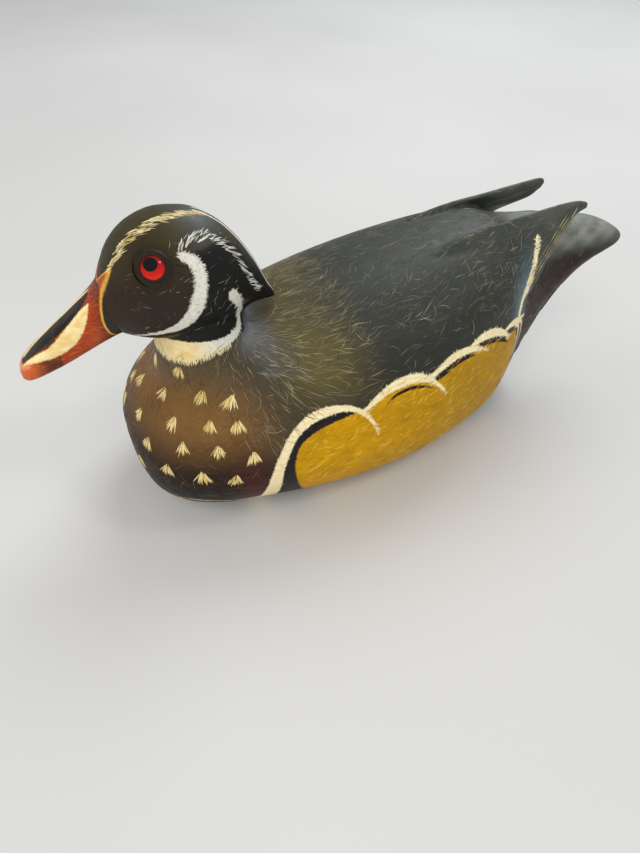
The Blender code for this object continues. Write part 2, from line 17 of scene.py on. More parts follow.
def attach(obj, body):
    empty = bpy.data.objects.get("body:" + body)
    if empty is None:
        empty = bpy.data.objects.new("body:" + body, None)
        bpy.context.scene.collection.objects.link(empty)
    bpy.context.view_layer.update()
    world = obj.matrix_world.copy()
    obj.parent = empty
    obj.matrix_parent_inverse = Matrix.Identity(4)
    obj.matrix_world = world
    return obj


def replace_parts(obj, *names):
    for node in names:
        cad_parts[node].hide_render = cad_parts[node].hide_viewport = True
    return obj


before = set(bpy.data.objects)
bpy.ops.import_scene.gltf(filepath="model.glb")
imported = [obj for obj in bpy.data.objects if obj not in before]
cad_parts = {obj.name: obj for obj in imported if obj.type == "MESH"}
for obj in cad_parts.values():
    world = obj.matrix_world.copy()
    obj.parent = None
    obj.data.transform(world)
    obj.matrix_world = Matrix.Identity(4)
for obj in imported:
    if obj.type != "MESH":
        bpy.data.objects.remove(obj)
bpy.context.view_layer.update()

MM = 0.001
FAR = 60.0                    # a field's value well away from its marking, in millimetres
BOARD_THICK = 12.7
TAIL_JOINT_Y = 128.0
SEAT_Y, SEAT_Z, SEAT_SLOPE = -112.0, 87.0, 0.2
EYE_R, EYE_Y, EYE_Z = 6.0, -111.0, 138.5
EYE_TURN_UP, EYE_TURN_FRONT = 34.0, 8.0
TIE_Y, TIE_Z, TIE_RING_R, TIE_WIRE_R, TIE_REST = -72.0, 5.5, 8.0, 1.1, 14.0
STAPLE_REACH, STAPLE_WIRE_R = 3.0, 1.2
VOXEL = 1.0                   # grain of the carved surface's mesh
NECK_STEPS = 96               # points round one section of the neck
LATHE_STEPS = 48              # points round a turned piece, unless it says otherwise
HOLE_STEPS = 32               # points round a screw's hole
EYE_STEPS = 72                # points round an eye and its lid
WIRE_STEPS = 20               # points round the line tie's wire
RING_STEPS = 72               # points along the line tie's ring
OUTSIDE = 200.0               # where a straight look at the duck starts

# y, top, bottom, half width, height of the widest point, half width of the flat base, fullness
BODY = [
    (-136.5, 40.0, 40.0, 0.0, 40.0, 0.0, 2.0),
    (-135.6, 47.5, 29.5, 15.0, 39.0, 0.0, 2.0),
    (-131.5, 56.0, 13.5, 30.5, 38.0, 0.0, 2.0),
    (-124.0, 65.0, 4.5, 42.0, 38.0, 0.0, 2.1),
    (-114.0, 72.5, 0.5, 50.0, 39.0, 4.0, 2.2),
    (-100.0, 80.5, 0.0, 56.0, 40.0, 12.5, 2.3),
    (-80.0, 89.5, 0.0, 60.0, 41.5, 20.0, 2.35),
    (-55.0, 97.0, 0.0, 63.5, 42.5, 28.0, 2.4),
    (-25.0, 104.5, 0.0, 65.5, 43.0, 32.0, 2.45),
    (5.0, 110.5, 0.0, 63.5, 44.5, 31.0, 2.5),
    (30.0, 114.5, 0.0, 57.5, 47.0, 28.0, 2.6),
    (50.0, 117.0, 0.0, 50.5, 50.0, 25.0, 2.7),
    (65.0, 118.0, 0.0, 44.0, 52.0, 21.5, 2.75),
    (80.0, 114.5, 0.0, 34.0, 56.0, 17.0, 2.6),
    (92.0, 113.2, 1.5, 25.5, 61.0, 8.0, 2.4),
    (104.0, 112.2, 13.0, 21.0, 67.0, 2.0, 2.3),
    (114.0, 110.2, 36.0, 18.5, 73.0, 0.0, 2.3),
    (124.0, 108.0, 54.5, 17.0, 79.5, 0.0, 2.3),
    (136.0, 104.5, 69.0, 16.0, 84.5, 0.0, 2.4),
    (148.0, 101.5, 77.0, 15.0, 88.0, 0.0, 2.5),
    (160.0, 97.0, 81.5, 13.0, 88.5, 0.0, 2.5),
    (168.0, 92.5, 84.0, 9.0, 88.0, 0.0, 2.3),
    (172.2, 89.5, 85.0, 4.5, 87.0, 0.0, 2.0),
    (173.5, 87.0, 87.0, 0.0, 87.0, 0.0, 2.0),
]
# y, top, bottom, half width, height of the widest point, fullness above and below it
HEAD = [
    (-134.5, 116.0, 116.0, 0.0, 116.0, 2.0, 2.0),
    (-133.4, 123.0, 109.0, 8.5, 116.0, 2.1, 2.2),
    (-129.5, 132.5, 104.5, 14.5, 117.0, 2.1, 2.2),
    (-122.5, 143.0, 101.5, 20.0, 117.5, 2.2, 2.3),
    (-113.0, 149.7, 98.0, 24.2, 119.0, 2.2, 2.2),
    (-101.0, 152.8, 96.0, 25.8, 119.5, 2.1, 2.2),
    (-90.0, 151.5, 95.0, 25.0, 119.0, 2.0, 2.2),
    (-80.0, 146.5, 97.0, 21.5, 118.0, 1.9, 2.1),
    (-71.0, 137.5, 99.5, 15.5, 116.0, 1.8, 2.0),
    (-63.0, 125.0, 100.2, 9.5, 111.0, 1.7, 1.8),
    (-57.0, 112.0, 100.0, 5.0, 105.0, 1.7, 1.8),
    (-53.0, 103.5, 99.6, 2.0, 101.5, 2.0, 2.0),
    (-52.0, 101.0, 101.0, 0.0, 101.0, 2.0, 2.0),
]
# z, centre y, half length, half width
NECK = [
    (58.0, -87.0, 36.0, 41.0),
    (72.0, -88.5, 29.0, 34.0),
    (84.0, -90.0, 24.0, 28.5),
    (92.0, -91.0, 22.0, 26.0),
    (102.0, -92.0, 20.5, 24.0),
    (116.0, -95.0, 19.5, 21.5),
]
# y, top, bottom, half width, height of the widest point, fullness above and below it
BILL = [
    (-122.0, 133.0, 104.0, 13.0, 112.0, 2.2, 2.2),
    (-128.0, 130.5, 103.5, 13.0, 111.5, 2.3, 2.3),
    (-135.0, 124.0, 101.0, 11.7, 109.0, 2.4, 2.4),
    (-145.0, 116.5, 96.5, 9.6, 104.0, 2.5, 2.5),
    (-155.0, 109.5, 93.0, 9.0, 99.0, 2.6, 2.6),
    (-164.0, 103.0, 91.0, 9.2, 95.5, 2.6, 2.6),
    (-170.0, 98.0, 90.0, 8.0, 93.0, 2.6, 2.6),
    (-172.7, 95.0, 90.0, 4.6, 92.0, 2.3, 2.3),
    (-173.5, 92.0, 92.0, 0.0, 92.0, 2.0, 2.0),
]
# y, upper edge x and z, lower edge x and z, bulge, thickness
WING = [
    (26.0, 18.5, 113.0, 46.0, 78.0, 5.0, 6.0),
    (40.0, 17.5, 117.0, 43.0, 79.0, 5.0, 6.0),
    (54.0, 17.0, 119.6, 39.0, 80.5, 5.0, 6.0),
    (70.0, 16.8, 121.0, 37.0, 83.5, 5.0, 6.0),
    (84.0, 16.5, 121.8, 32.5, 85.0, 4.0, 6.0),
    (96.0, 16.5, 122.7, 26.5, 99.0, 3.0, 5.6),
    (106.0, 16.5, 123.4, 22.5, 110.5, 1.6, 4.8),
    (115.0, 17.0, 123.7, 20.3, 118.0, 0.8, 4.2),
    (121.5, 17.8, 122.9, 20.2, 120.5, 0.4, 3.6),
]
# The right wing's tip is carved slimmer than the left one's: a long finger that stands clear of the rump
RIGHT_WING = WING[:4] + [
    (78.0, 16.6, 121.4, 34.5, 85.5, 4.5, 6.0),
    (84.0, 16.5, 121.8, 28.5, 98.0, 3.5, 6.0),
    (89.0, 16.5, 122.2, 25.0, 105.0, 2.5, 5.8),
    (96.0, 16.5, 122.7, 23.4, 108.6, 2.0, 5.6),
    (106.0, 16.5, 123.4, 22.8, 110.3, 1.4, 4.8),
    (115.0, 17.0, 123.7, 22.0, 112.3, 0.8, 4.2),
    (121.5, 17.8, 122.9, 20.4, 118.0, 0.4, 3.6),
]
WINGS = {1: WING, -1: RIGHT_WING}


# ---------------------------------------------------------------- curves and sections

def smooth(xs, ys):
    """A curve through the points that never overshoots them, as a function of an array of places."""
    xs, ys = np.asarray(xs, float), np.asarray(ys, float)
    step = np.diff(xs)
    slope = np.diff(ys) / step
    tangent = np.concatenate([slope[:1], np.zeros(len(xs) - 2), slope[-1:]])
    for i in range(1, len(xs) - 1):
        if slope[i - 1] * slope[i] > 0:
            before, after = 2 * step[i] + step[i - 1], step[i] + 2 * step[i - 1]
            tangent[i] = (before + after) / (before / slope[i - 1] + after / slope[i])

    def value(x):
        x = np.asarray(x, float)
        i = np.clip(np.searchsorted(xs, x) - 1, 0, len(step) - 1)
        h = step[i]
        t = np.clip((x - xs[i]) / h, 0, 1)
        return ((2 * t**3 - 3 * t**2 + 1) * ys[i] + (t**3 - 2 * t**2 + t) * h * tangent[i]
                + (3 * t**2 - 2 * t**3) * ys[i + 1] + (t**3 - t**2) * h * tangent[i + 1])
    return value


def fine_rows(table, spacing):
    """The table's rows resampled evenly along its smooth curves."""
    rows = np.array(table, float)
    along = np.concatenate([[0], np.cumsum(np.linalg.norm(np.diff(rows[:, :4], axis=0), axis=1))])
    places = np.linspace(0, along[-1], int(along[-1] / spacing) + 2)
    columns = [smooth(along, rows[:, k])(places) for k in range(rows.shape[1])]
    return np.stack(columns, axis=1)


def round_about(steps):
    """Evenly spaced angles of one whole turn."""
    return np.linspace(0, 2 * math.pi, steps, endpoint=False)


def quarter(count, fullness):
    """Quarter of a super-ellipse from its top to its side: shares across and up."""
    angles = np.linspace(0, math.pi / 2, count)
    return np.sin(angles) ** (2 / fullness), np.abs(np.cos(angles)) ** (2 / fullness)


def wing_edge_y(z):
    """Where the side pocket and wing end and the set-back rump begins."""
    return smooth([0, 25, 50, 70, 84, 100, 130], [93, 92, 90.5, 85, 86, 99, 108])(z)


def body_section(row):
    """One whole body section as a closed ring of points, set back behind the wing's edge."""
    y, top, bottom, half, widest, base, fullness = row
    base = max(base, 1.0)
    across, up = quarter(34, fullness)
    side = [np.stack([half * across, widest + (top - widest) * up], 1)]
    across, up = quarter(24, 1.8)
    side.append(np.stack([base + (half - base) * up, widest - (widest - bottom) * across], 1)[1:])
    side = np.concatenate(side)
    side[0, 0] = 0.0
    behind = np.clip((y - wing_edge_y(side[:, 1])) / 2.5, 0, 1)
    fade = np.clip((150 - y) / 30, 0, 1) * np.clip((side[:, 1] - 14) / 12, 0, 1)
    side[:, 0] = np.maximum(side[:, 0] - 2.2 * behind * fade * (side[:, 0] > 12), 0.0)
    return closed_ring(side, y)


def egg_section(row):
    """One whole section of the head or the bill as a closed ring of points."""
    y, top, bottom, half, widest, above, below = row
    across, up = quarter(34, above)
    side = [np.stack([half * across, widest + (top - widest) * up], 1)]
    across, up = quarter(34, below)
    side.append(np.stack([half * up, widest - (widest - bottom) * across], 1)[1:])
    side = np.concatenate(side)
    side[0, 0] = side[-1, 0] = 0.0
    return closed_ring(side, y)


def closed_ring(side, y):
    """A ring from a half section's (x, z) points on the left side; its first point is on the ridge."""
    other = side[::-1] * [-1, 1]
    if side[-1, 0] == 0.0:
        other = other[1:]
    if side[0, 0] == 0.0:
        other = other[:-1]
    ring = np.concatenate([side, other])
    return np.stack([ring[:, 0], np.full(len(ring), y), ring[:, 1]], 1)


def neck_sections(spacing=2.0):
    angles = round_about(NECK_STEPS)
    return [np.stack([wide * np.sin(angles), y - long * np.cos(angles), np.full(NECK_STEPS, z)], 1)
            for z, y, long, wide in fine_rows(NECK, spacing)]


def wing_section(row, side, grow=0.0):
    """One wing section as a closed ring: the outer face down, then the inner face back up."""
    y, upper_x, upper_z, lower_x, lower_z, bulge, thickness = row
    upper, lower = np.array([upper_x, upper_z]), np.array([lower_x, lower_z])
    along = (lower - upper) / np.linalg.norm(lower - upper)
    outward = np.array([-along[1], along[0]])
    outward *= np.sign(outward[1]) or 1.0
    t = np.linspace(0, 1, 16)[:, None]
    swell = 4 * bulge * t * (1 - t)
    spine = upper + (lower - upper) * t + along * grow * (2 * t - 1)
    depth = thickness * np.minimum(1.0, 0.45 + 3.0 * np.minimum(t, 1 - t)) + grow
    ring = np.concatenate([spine + outward * (swell + grow), (spine + outward * (swell - depth))[::-1]])
    return np.stack([side * ring[:, 0], np.full(len(ring), y), ring[:, 1]], 1)


# ---------------------------------------------------------------- meshes

def loft(rings):
    """Points and faces of a closed surface over rings, capped by a point at the middle of each end."""
    count = len(rings[0])
    points = np.concatenate([rings[0].mean(0)[None]] + list(rings) + [rings[-1].mean(0)[None]])
    last = len(points) - 1
    j = np.arange(count)
    k = (j + 1) % count
    faces = [(0, 1 + b, 1 + a) for a, b in zip(j, k)]
    for i in range(len(rings) - 1):
        low, high = 1 + i * count, 1 + (i + 1) * count
        faces += list(zip(low + j, low + k, high + k, high + j))
    end = 1 + (len(rings) - 1) * count
    faces += [(last, end + a, end + b) for a, b in zip(j, k)]
    return points, [tuple(int(c) for c in f) for f in faces]


def make_object(name, points, faces):
    mesh = bpy.data.meshes.new(name)
    mesh.from_pydata([tuple(p) for p in points], [], faces)
    mesh.update()
    obj = bpy.data.objects.new(name, mesh)
    bpy.context.scene.collection.objects.link(obj)
    return outward_facing(obj)


def outward_facing(obj):
    """Turns the mesh's faces outwards when its volume comes out negative."""
    build = bmesh.new()
    build.from_mesh(obj.data)
    if build.calc_volume(signed=True) < 0:
        bmesh.ops.reverse_faces(build, faces=build.faces)
        build.to_mesh(obj.data)
    build.free()
    return obj


def joined(name, shapes):
    """Several (points, faces) shapes as one object."""
    points, faces, start = [], [], 0
    for shape_points, shape_faces in shapes:
        points.append(shape_points)
        faces += [tuple(c + start for c in f) for f in shape_faces]
        start += len(shape_points)
    return make_object(name, np.concatenate(points), faces)


def settle(obj):
    """Replaces the object's mesh by what its modifiers make of it."""
    bpy.context.view_layer.update()
    evaluated = obj.evaluated_get(bpy.context.evaluated_depsgraph_get())
    mesh = bpy.data.meshes.new_from_object(evaluated)
    obj.modifiers.clear()
    obj.data = mesh
    return obj


def places_of(obj):
    co = np.zeros(len(obj.data.vertices) * 3, np.float32)
    obj.data.vertices.foreach_get("co", co)
    return co.reshape(-1, 3).astype(float)


def boolean(obj, tool, operation):
    """Cuts or joins the object with a tool, which is used up."""
    step = obj.modifiers.new("cut", "BOOLEAN")
    step.operation, step.object, step.solver = operation, tool, "MANIFOLD"
    settle(obj)
    bpy.data.objects.remove(tool)
    return obj


def copy_of(obj, name):
    copy = bpy.data.objects.new(name, obj.data.copy())
    bpy.context.scene.collection.objects.link(copy)
    return copy


def slab(low, high):
    """Points and faces of a box."""
    xs, ys, zs = zip(low, high)
    points = np.array([(x, y, z) for x in xs for y in ys for z in zs], float)
    return points, [(0, 1, 3, 2), (4, 6, 7, 5), (0, 4, 5, 1), (2, 3, 7, 6), (0, 2, 6, 4), (1, 5, 7, 3)]


def seat_height(y):
    """Height of the sloping seat that the neck stands on."""
    return SEAT_Z + SEAT_SLOPE * (y - SEAT_Y)


def seat_wedge(shift):
    """All that is above the neck seat, shifted up or down a little."""
    front, back, side, top = -150.0, -48.0, 60.0, 190.0
    edge = [(front, seat_height(front) + shift), (back, seat_height(back) + shift), (back, top), (front, top)]
    points = np.array([(x, y, z) for x in (-side, side) for y, z in edge])
    return points, [(0, 1, 2, 3), (7, 6, 5, 4), (0, 4, 5, 1), (1, 5, 6, 2), (2, 6, 7, 3), (3, 7, 4, 0)]


def weld_smoothly(obj, weights, rounds):
    """Smooths the mesh where the weights say, to make a fillet."""
    group = obj.vertex_groups.new(name="fillet")
    grades = 20
    levels = np.round(np.clip(weights, 0, 1) * grades).astype(int)
    for level in range(1, grades + 1):
        group.add(np.nonzero(levels == level)[0].tolist(), level / grades, "REPLACE")
    step = obj.modifiers.new("fillet", "SMOOTH")
    step.factor, step.iterations, step.vertex_group = 0.5, rounds, "fillet"
    settle(obj)
    obj.vertex_groups.clear()


def body_top(x, y):
    """Height of the body's back at a place."""
    rows = np.array(BODY)
    top, half, widest, fullness = [smooth(rows[:, 0], rows[:, k])(y) for k in (1, 3, 4, 6)]
    reach = np.clip(np.abs(x) / np.maximum(half, 1e-6), 0, 1)
    return widest + (top - widest) * (1 - reach ** fullness) ** (1 / fullness)


def neck_foot():
    """The line where the neck comes out of the body."""
    line = []
    levels = neck_sections(0.5)[::-1]
    for k in range(0, NECK_STEPS, 4):
        spots = np.array([ring[k] for ring in levels])
        below = spots[:, 2] <= body_top(spots[:, 0], spots[:, 1])
        line.append(spots[np.argmax(below)] if below.any() else spots[-1])
    return np.array(line + line[:1])


def distance_to(places, line, half=None):
    """Distance of each place from a line of points, less the line's half width there."""
    half = np.zeros(len(line)) if half is None else np.asarray(half, float)
    reach = 16.0
    low, high = line.min(0) - reach, line.max(0) + reach
    near = np.all((places > low) & (places < high), axis=1)
    spots = places[near]
    best = np.full(len(spots), FAR)
    for a, b, start, end in zip(line[:-1], line[1:], half[:-1], half[1:]):
        span = b - a
        t = np.clip(((spots - a) @ span) / max(span @ span, 1e-12), 0, 1)
        gap = np.linalg.norm(spots - a - t[:, None] * span, axis=1) - (start + t * (end - start))
        best = np.minimum(best, gap)
    result = np.full(len(places), FAR)
    result[near] = best
    return result


def carve_whole():
    """The duck without its bill and eyes as one closed surface, before it is parted into pieces."""
    shapes = [loft([body_section(r) for r in fine_rows(BODY, 1.6)[1:-1]]),
              loft([egg_section(r) for r in fine_rows(HEAD, 1.2)[1:-1]]),
              loft(neck_sections())]
    shapes += [loft([wing_section(r, side) for r in fine_rows(WINGS[side], 1.5)][::side])
               for side in (1, -1)]
    whole = joined("whole", shapes)
    remesh = whole.modifiers.new("grain", "REMESH")
    remesh.mode, remesh.voxel_size, remesh.adaptivity = "VOXEL", VOXEL, 0.0
    settle(whole)
    weld_smoothly(whole, np.ones(len(whole.data.vertices)), 4)
    places = places_of(whole)
    weld_smoothly(whole, 1.2 * np.exp(-(distance_to(places, neck_foot()) / 9.0) ** 2), 160)
    wing_root = np.array([(30.0, 58.0, 106.0), (33.0, 72.0, 98.0), (34.0, 84.0, 88.0)])
    weld_smoothly(whole, np.exp(-(distance_to(fold(places_of(whole)), wing_root) / 8.0) ** 2), 60)
    return whole


# ---------------------------------------------------------------- parting the duck into its pieces

SCREWS = {
    "bottom_screw_front": (0.0, -106.0), "bottom_screw_rear": (0.0, 76.5),
    "bottom_screw_front_left": (29.0, -58.0), "bottom_screw_front_right": (-29.0, -58.0),
    "bottom_screw_rear_left": (26.0, 34.0), "bottom_screw_rear_right": (-26.0, 34.0),
}
WEIGHT_LOW, WEIGHT_HIGH = (-15.0, -47.0, 0.5), (15.0, 31.0, 7.5)
WEIGHT_SCREWS = {"weight_screw_front": -35.0, "weight_screw_rear": 19.0}
# The radii of a screw's shank and head, and the height of its head's face
SCREW_RADII, SCREW_Z, SCREW_LONG = (2.0, 4.2), 0.5, 32.0
WEIGHT_SCREW_RADII, WEIGHT_SCREW_Z, WEIGHT_SCREW_LONG = (1.6, 3.4), 0.8, 11.0
POCKET_LOW, POCKET_HIGH = (-12.0, -99.0, -5.0), (12.0, -63.0, 9.0)
CLEAR = 0.15                  # half of the gap between two wooden pieces
HALF_WIDE, HALF_LONG, HIGH = 90.0, 190.0, 190.0    # a space wider, longer and higher than the duck
NECK_DOWEL_Y, NECK_DOWEL_HOLE = -81.0, 5.1
NECK_SCREW_Y, NECK_SCREW_HOLE, WASHER_HOLE = -98.0, 2.7, 9.0
TAIL_DOWEL_X, TAIL_DOWEL_Z, TAIL_DOWEL_HOLE = 6.0, 88.0, 2.8
TAIL_DOWEL_FRONT, TAIL_DOWEL_REAR = 113.5, 144.5


def turned(profile, frame_matrix=None, steps=LATHE_STEPS):
    """Points and faces of a solid turned about Z from (radius, z) pairs that run from its top down."""
    angles = round_about(steps)
    rings = [np.stack([r * np.cos(angles), r * np.sin(angles), np.full(steps, z)], 1)
             for r, z in profile if r > 0][::-1]
    points, faces = loft(rings)
    points[0, 2], points[-1, 2] = profile[-1][1], profile[0][1]
    if frame_matrix is not None:
        turn = np.array(frame_matrix)
        points = points @ turn[:3, :3].T + turn[:3, 3]
    return points, faces


def moved(shape, offset):
    return shape[0] + np.array(offset), shape[1]


def rod(start, end, radius, steps=24):
    start, end = Vector(start), Vector(end)
    turn = Matrix.Translation(start) @ (end - start).to_track_quat("Z", "Y").to_matrix().to_4x4()
    return turned([(radius, (end - start).length), (radius, 0.0)], turn, steps)


def upright_hole(y, low, high, radius):
    return rod((0, y, low), (0, y, high), radius)


def all_between(front, low, high):
    """A box as a cutter: all of the duck behind y = front and between two heights."""
    return make_object("tool", *slab((-HALF_WIDE, front, low), (HALF_WIDE, HALF_LONG, high)))


def countersink(shank, head):
    """The hole for a countersunk screw whose head lies at z = 0."""
    return [(shank + 0.3, 33.0), (shank + 0.3, head - shank + 0.3), (head + 0.3, 0.3), (head + 0.3, -5.0)]


def eye_frame(side):
    """The eye's placing: its local Z looks out of the head."""
    rows = np.array(HEAD)
    top, half, widest, full = [float(smooth(rows[:, 0], rows[:, k])(EYE_Y)) for k in (1, 3, 4, 5)]
    eye_x = half * (1 - ((EYE_Z - widest) / (top - widest)) ** full) ** (1 / full)
    up, front = math.radians(EYE_TURN_UP), math.radians(EYE_TURN_FRONT)
    out = Vector((side * math.cos(up) * math.cos(front), -math.cos(up) * math.sin(front), math.sin(up)))
    return Matrix.Translation((side * eye_x, EYE_Y, EYE_Z)) @ out.to_track_quat("Z", "Y").to_matrix().to_4x4()


def part_whole(whole):
    """The painted wooden pieces, cut from the whole as the real ones are."""
    board = cut_board(whole)
    above = boolean(copy_of(whole, "above"),
                    all_between(-HALF_LONG, -20, BOARD_THICK + CLEAR), "DIFFERENCE")
    tail = boolean(copy_of(above, "tail_insert_carved"),
                   all_between(TAIL_JOINT_Y + CLEAR, 0, HIGH), "INTERSECT")
    head = cut_head(above)
    left, right = [cut_wing_tip(above, side, label) for side, label in ((1, "left"), (-1, "right"))]
    cut_body(above)
    bill = make_object("bill_carved", *loft([egg_section(r) for r in fine_rows(BILL, 0.7)[:-1]]))
    return {"body_upper": above, "bottom_board": board, "head": head, "tail_insert": tail, "bill": bill,
            "left_wing_tip": left, "right_wing_tip": right}


def cut_board(whole):
    """The bottom board with the recesses for its weight, its line tie and its screws."""
    board = boolean(copy_of(whole, "bottom_board_carved"),
                    all_between(-HALF_LONG, -20, BOARD_THICK), "INTERSECT")
    recesses = [slab([c - 0.3 for c in WEIGHT_LOW[:2]] + [-5.0], [c + 0.3 for c in WEIGHT_HIGH]),
                slab(POCKET_LOW, POCKET_HIGH)]
    recesses += [moved(turned(countersink(*SCREW_RADII), steps=HOLE_STEPS), (x, y, SCREW_Z))
                 for x, y in SCREWS.values()]
    boolean(board, joined("tool", recesses), "DIFFERENCE")
    legs = [rod((0, TIE_Y + leg, 5.0), (0, TIE_Y + leg, 14.0), STAPLE_WIRE_R + 0.2)
            for leg in (-STAPLE_REACH, STAPLE_REACH)]
    legs += [moved(turned(countersink(*WEIGHT_SCREW_RADII), steps=HOLE_STEPS), (0, y, WEIGHT_SCREW_Z))
             for y in WEIGHT_SCREWS.values()]
    return boolean(board, joined("tool", legs), "DIFFERENCE")


def cut_head(above):
    """The head with its neck, open for the bill, the eyes, the neck dowel and the neck screw."""
    head = boolean(copy_of(above, "head_carved"), make_object("tool", *seat_wedge(CLEAR)), "INTERSECT")
    bill_hole = loft([egg_section([r[0], r[1] + 0.2, r[2] - 0.2, r[3] + 0.2, *r[4:]])
                      for r in fine_rows(BILL, 1.2)[:-1]])
    eye_holes = [turned([(EYE_R + 1.9, 12.0), (EYE_R + 1.9, -4.8)], eye_frame(side)) for side in (1, -1)]
    dowel_hole = upright_hole(NECK_DOWEL_Y, 70, 118.3, NECK_DOWEL_HOLE)
    screw_hole = upright_hole(NECK_SCREW_Y, 60, 125, NECK_SCREW_HOLE)
    for holes in ([bill_hole], eye_holes + [dowel_hole], [screw_hole]):
        boolean(head, joined("tool", holes), "DIFFERENCE")
    return head


def cut_wing_tip(above, side, label):
    """One wing's free tip, which is also taken out of what it is cut from."""
    rings = [wing_section(r, side, 0.9) for r in fine_rows(WINGS[side], 1.5) if r[0] > 76.0]
    rings.append(rings[-1] + [0, 6.0, 0])
    region = loft(rings[::side])
    tip = copy_of(above, label + "_wing_tip_carved")
    boolean(tip, make_object("tool", *region), "INTERSECT")
    boolean(above, make_object("tool", *region), "DIFFERENCE")
    return tip


def cut_body(body):
    """Leaves the hollowed body, with its seats and holes, of all that is above the board."""
    body.name = "body_upper_carved"
    boolean(body, all_between(TAIL_JOINT_Y, 0, HIGH), "DIFFERENCE")
    boolean(body, make_object("tool", *seat_wedge(0.0)), "DIFFERENCE")
    hollow = [body_section([y + 4.0, top - 19.0, -4.0, half * 0.66, widest - 4.0, base * 0.62, full])
              for y, top, bottom, half, widest, base, full in fine_rows(BODY[4:13], 4.0)]
    boolean(body, make_object("tool", *loft(hollow)), "DIFFERENCE")
    pegs = [upright_hole(NECK_DOWEL_Y, 75.7, 118, NECK_DOWEL_HOLE)]
    pegs += [rod((x, TAIL_DOWEL_FRONT, TAIL_DOWEL_Z), (x, TAIL_DOWEL_REAR, TAIL_DOWEL_Z), TAIL_DOWEL_HOLE)
             for x in (TAIL_DOWEL_X, -TAIL_DOWEL_X)]
    boolean(body, joined("tool", pegs), "DIFFERENCE")
    boolean(body, joined("tool", [upright_hole(NECK_SCREW_Y, 20, 60, WASHER_HOLE)]), "DIFFERENCE")


# ---------------------------------------------------------------- markings on the surface

def thread(points, step=1.2):
    """An evenly spaced smooth line through given points; every column is carried along."""
    points = np.array(points, float)
    along = np.concatenate([[0], np.cumsum(np.linalg.norm(np.diff(points[:, :-1], axis=0), axis=1))])
    slopes = np.gradient(points, along, axis=0)
    places = np.linspace(0, along[-1], max(int(along[-1] / step), 2) + 1)
    i = np.clip(np.searchsorted(along, places) - 1, 0, len(points) - 2)
    h = (along[i + 1] - along[i])[:, None]
    t = (places - along[i])[:, None] / h
    line = ((2 * t**3 - 3 * t**2 + 1) * points[i] + (t**3 - 2 * t**2 + t) * h * slopes[i]
            + (3 * t**2 - 2 * t**3) * points[i + 1] + (t**3 - t**2) * h * slopes[i + 1])
    line[:, -1] = np.interp(places, along, points[:, -1])
    return line


class Surface:
    """Finds the skin of a closed shape given in millimetres."""

    def __init__(self, obj):
        places = [Vector(p) for p in places_of(obj)]
        self.tree = BVHTree.FromPolygons(places, [tuple(f.vertices) for f in obj.data.polygons])

    def nearest(self, place):
        spot, normal, _, _ = self.tree.find_nearest(Vector(place))
        return spot, normal

    def from_side(self, side, y, z):
        """The point seen level from one side at this y and z, or None."""
        return self.tree.ray_cast(Vector((side * OUTSIDE, y, z)), Vector((-side, 0, 0)))[0]

    def from_left(self, y, z):
        """The point of the left side at this y and z, or the nearest one where the look misses it."""
        spot = self.from_side(1, y, z)
        return spot if spot is not None and spot.x > 1.0 else self.nearest((20, y, z))[0]

    def lifted(self, points):
        """A line's points on the skin, and its half widths.

        Points of (y, z, half width) are seen from the left. Those with an x go to the nearest skin.
        """
        line = thread(points)
        if line.shape[1] == 3:
            spots = [self.from_left(y, z) for y, z, _ in line]
        else:
            spots = [self.nearest(p[:3])[0] for p in line]
        return np.array(spots, float), line[:, -1]


# Flank: y, z and half width along the middle of each cream scallop
CREAM = [[(-82, 0, 5.0), (-81.5, 12, 4.8), (-79.8, 27, 4.0), (-77.8, 41, 2.7), (-74, 52, 2.3),
          (-69.3, 60.2, 2.1), (-63.5, 65.6, 2.2), (-59, 68, 2.4), (-52, 69.8, 2.4), (-45, 70.1, 1.7),
          (-39.2, 68.9, 1.3), (-34.5, 66, 1.1), (-30, 60.5, 0.9), (-27.2, 54, 0.5), (-26, 49.5, 0.1)],
         [(-33.4, 66.5, 0.9), (-27, 70.3, 1.5), (-19.5, 73.7, 2.1), (-11, 75.2, 2.5), (-3, 74.6, 2.4),
          (2, 72.6, 1.7), (6.5, 69, 1.1), (10.5, 65, 0.8), (14, 59.8, 0.2)],
         [(2.5, 72.4, 0.9), (10, 75.3, 1.6), (16.5, 77.5, 2.0), (24.3, 78.2, 2.0), (32, 77.1, 1.7),
          (37.5, 75, 1.0), (44.5, 71, 0.3)],
         [(30, 78.4, 0.9), (37, 80.1, 1.9), (44.5, 79.9, 2.4), (52.8, 77.2, 2.1), (59.5, 72.8, 1.2),
          (65, 68.2, 0.3)],
         [(58, 75.6, 0.9), (65, 76, 1.9), (72, 73.4, 2.4), (77, 71, 2.1)],
         [(72, 71.5, 1.2), (76.5, 67, 1.0), (79, 59, 0.9), (80, 49, 0.7), (80, 40, 0.1)],
         [(75, 71.5, 1.1), (81, 67, 1.0), (84.5, 58, 0.8), (86, 49, 0.6), (86, 40, 0.1)],
         [(77, 72, 1.0), (84.5, 69, 0.9), (89.5, 60, 0.8), (91, 51, 0.5), (91, 40, 0.1)],
         [(52.3, -81, 16.5, 1.5), (52, -88, 18, 0.9), (51, -96, 19, 0.7), (50, -104, 21, 0.7),
          (47, -112, 22.5, 0.7), (43, -119, 22.5, 0.6), (36, -125, 20, 0.6), (26, -129, 18, 0.5)]]
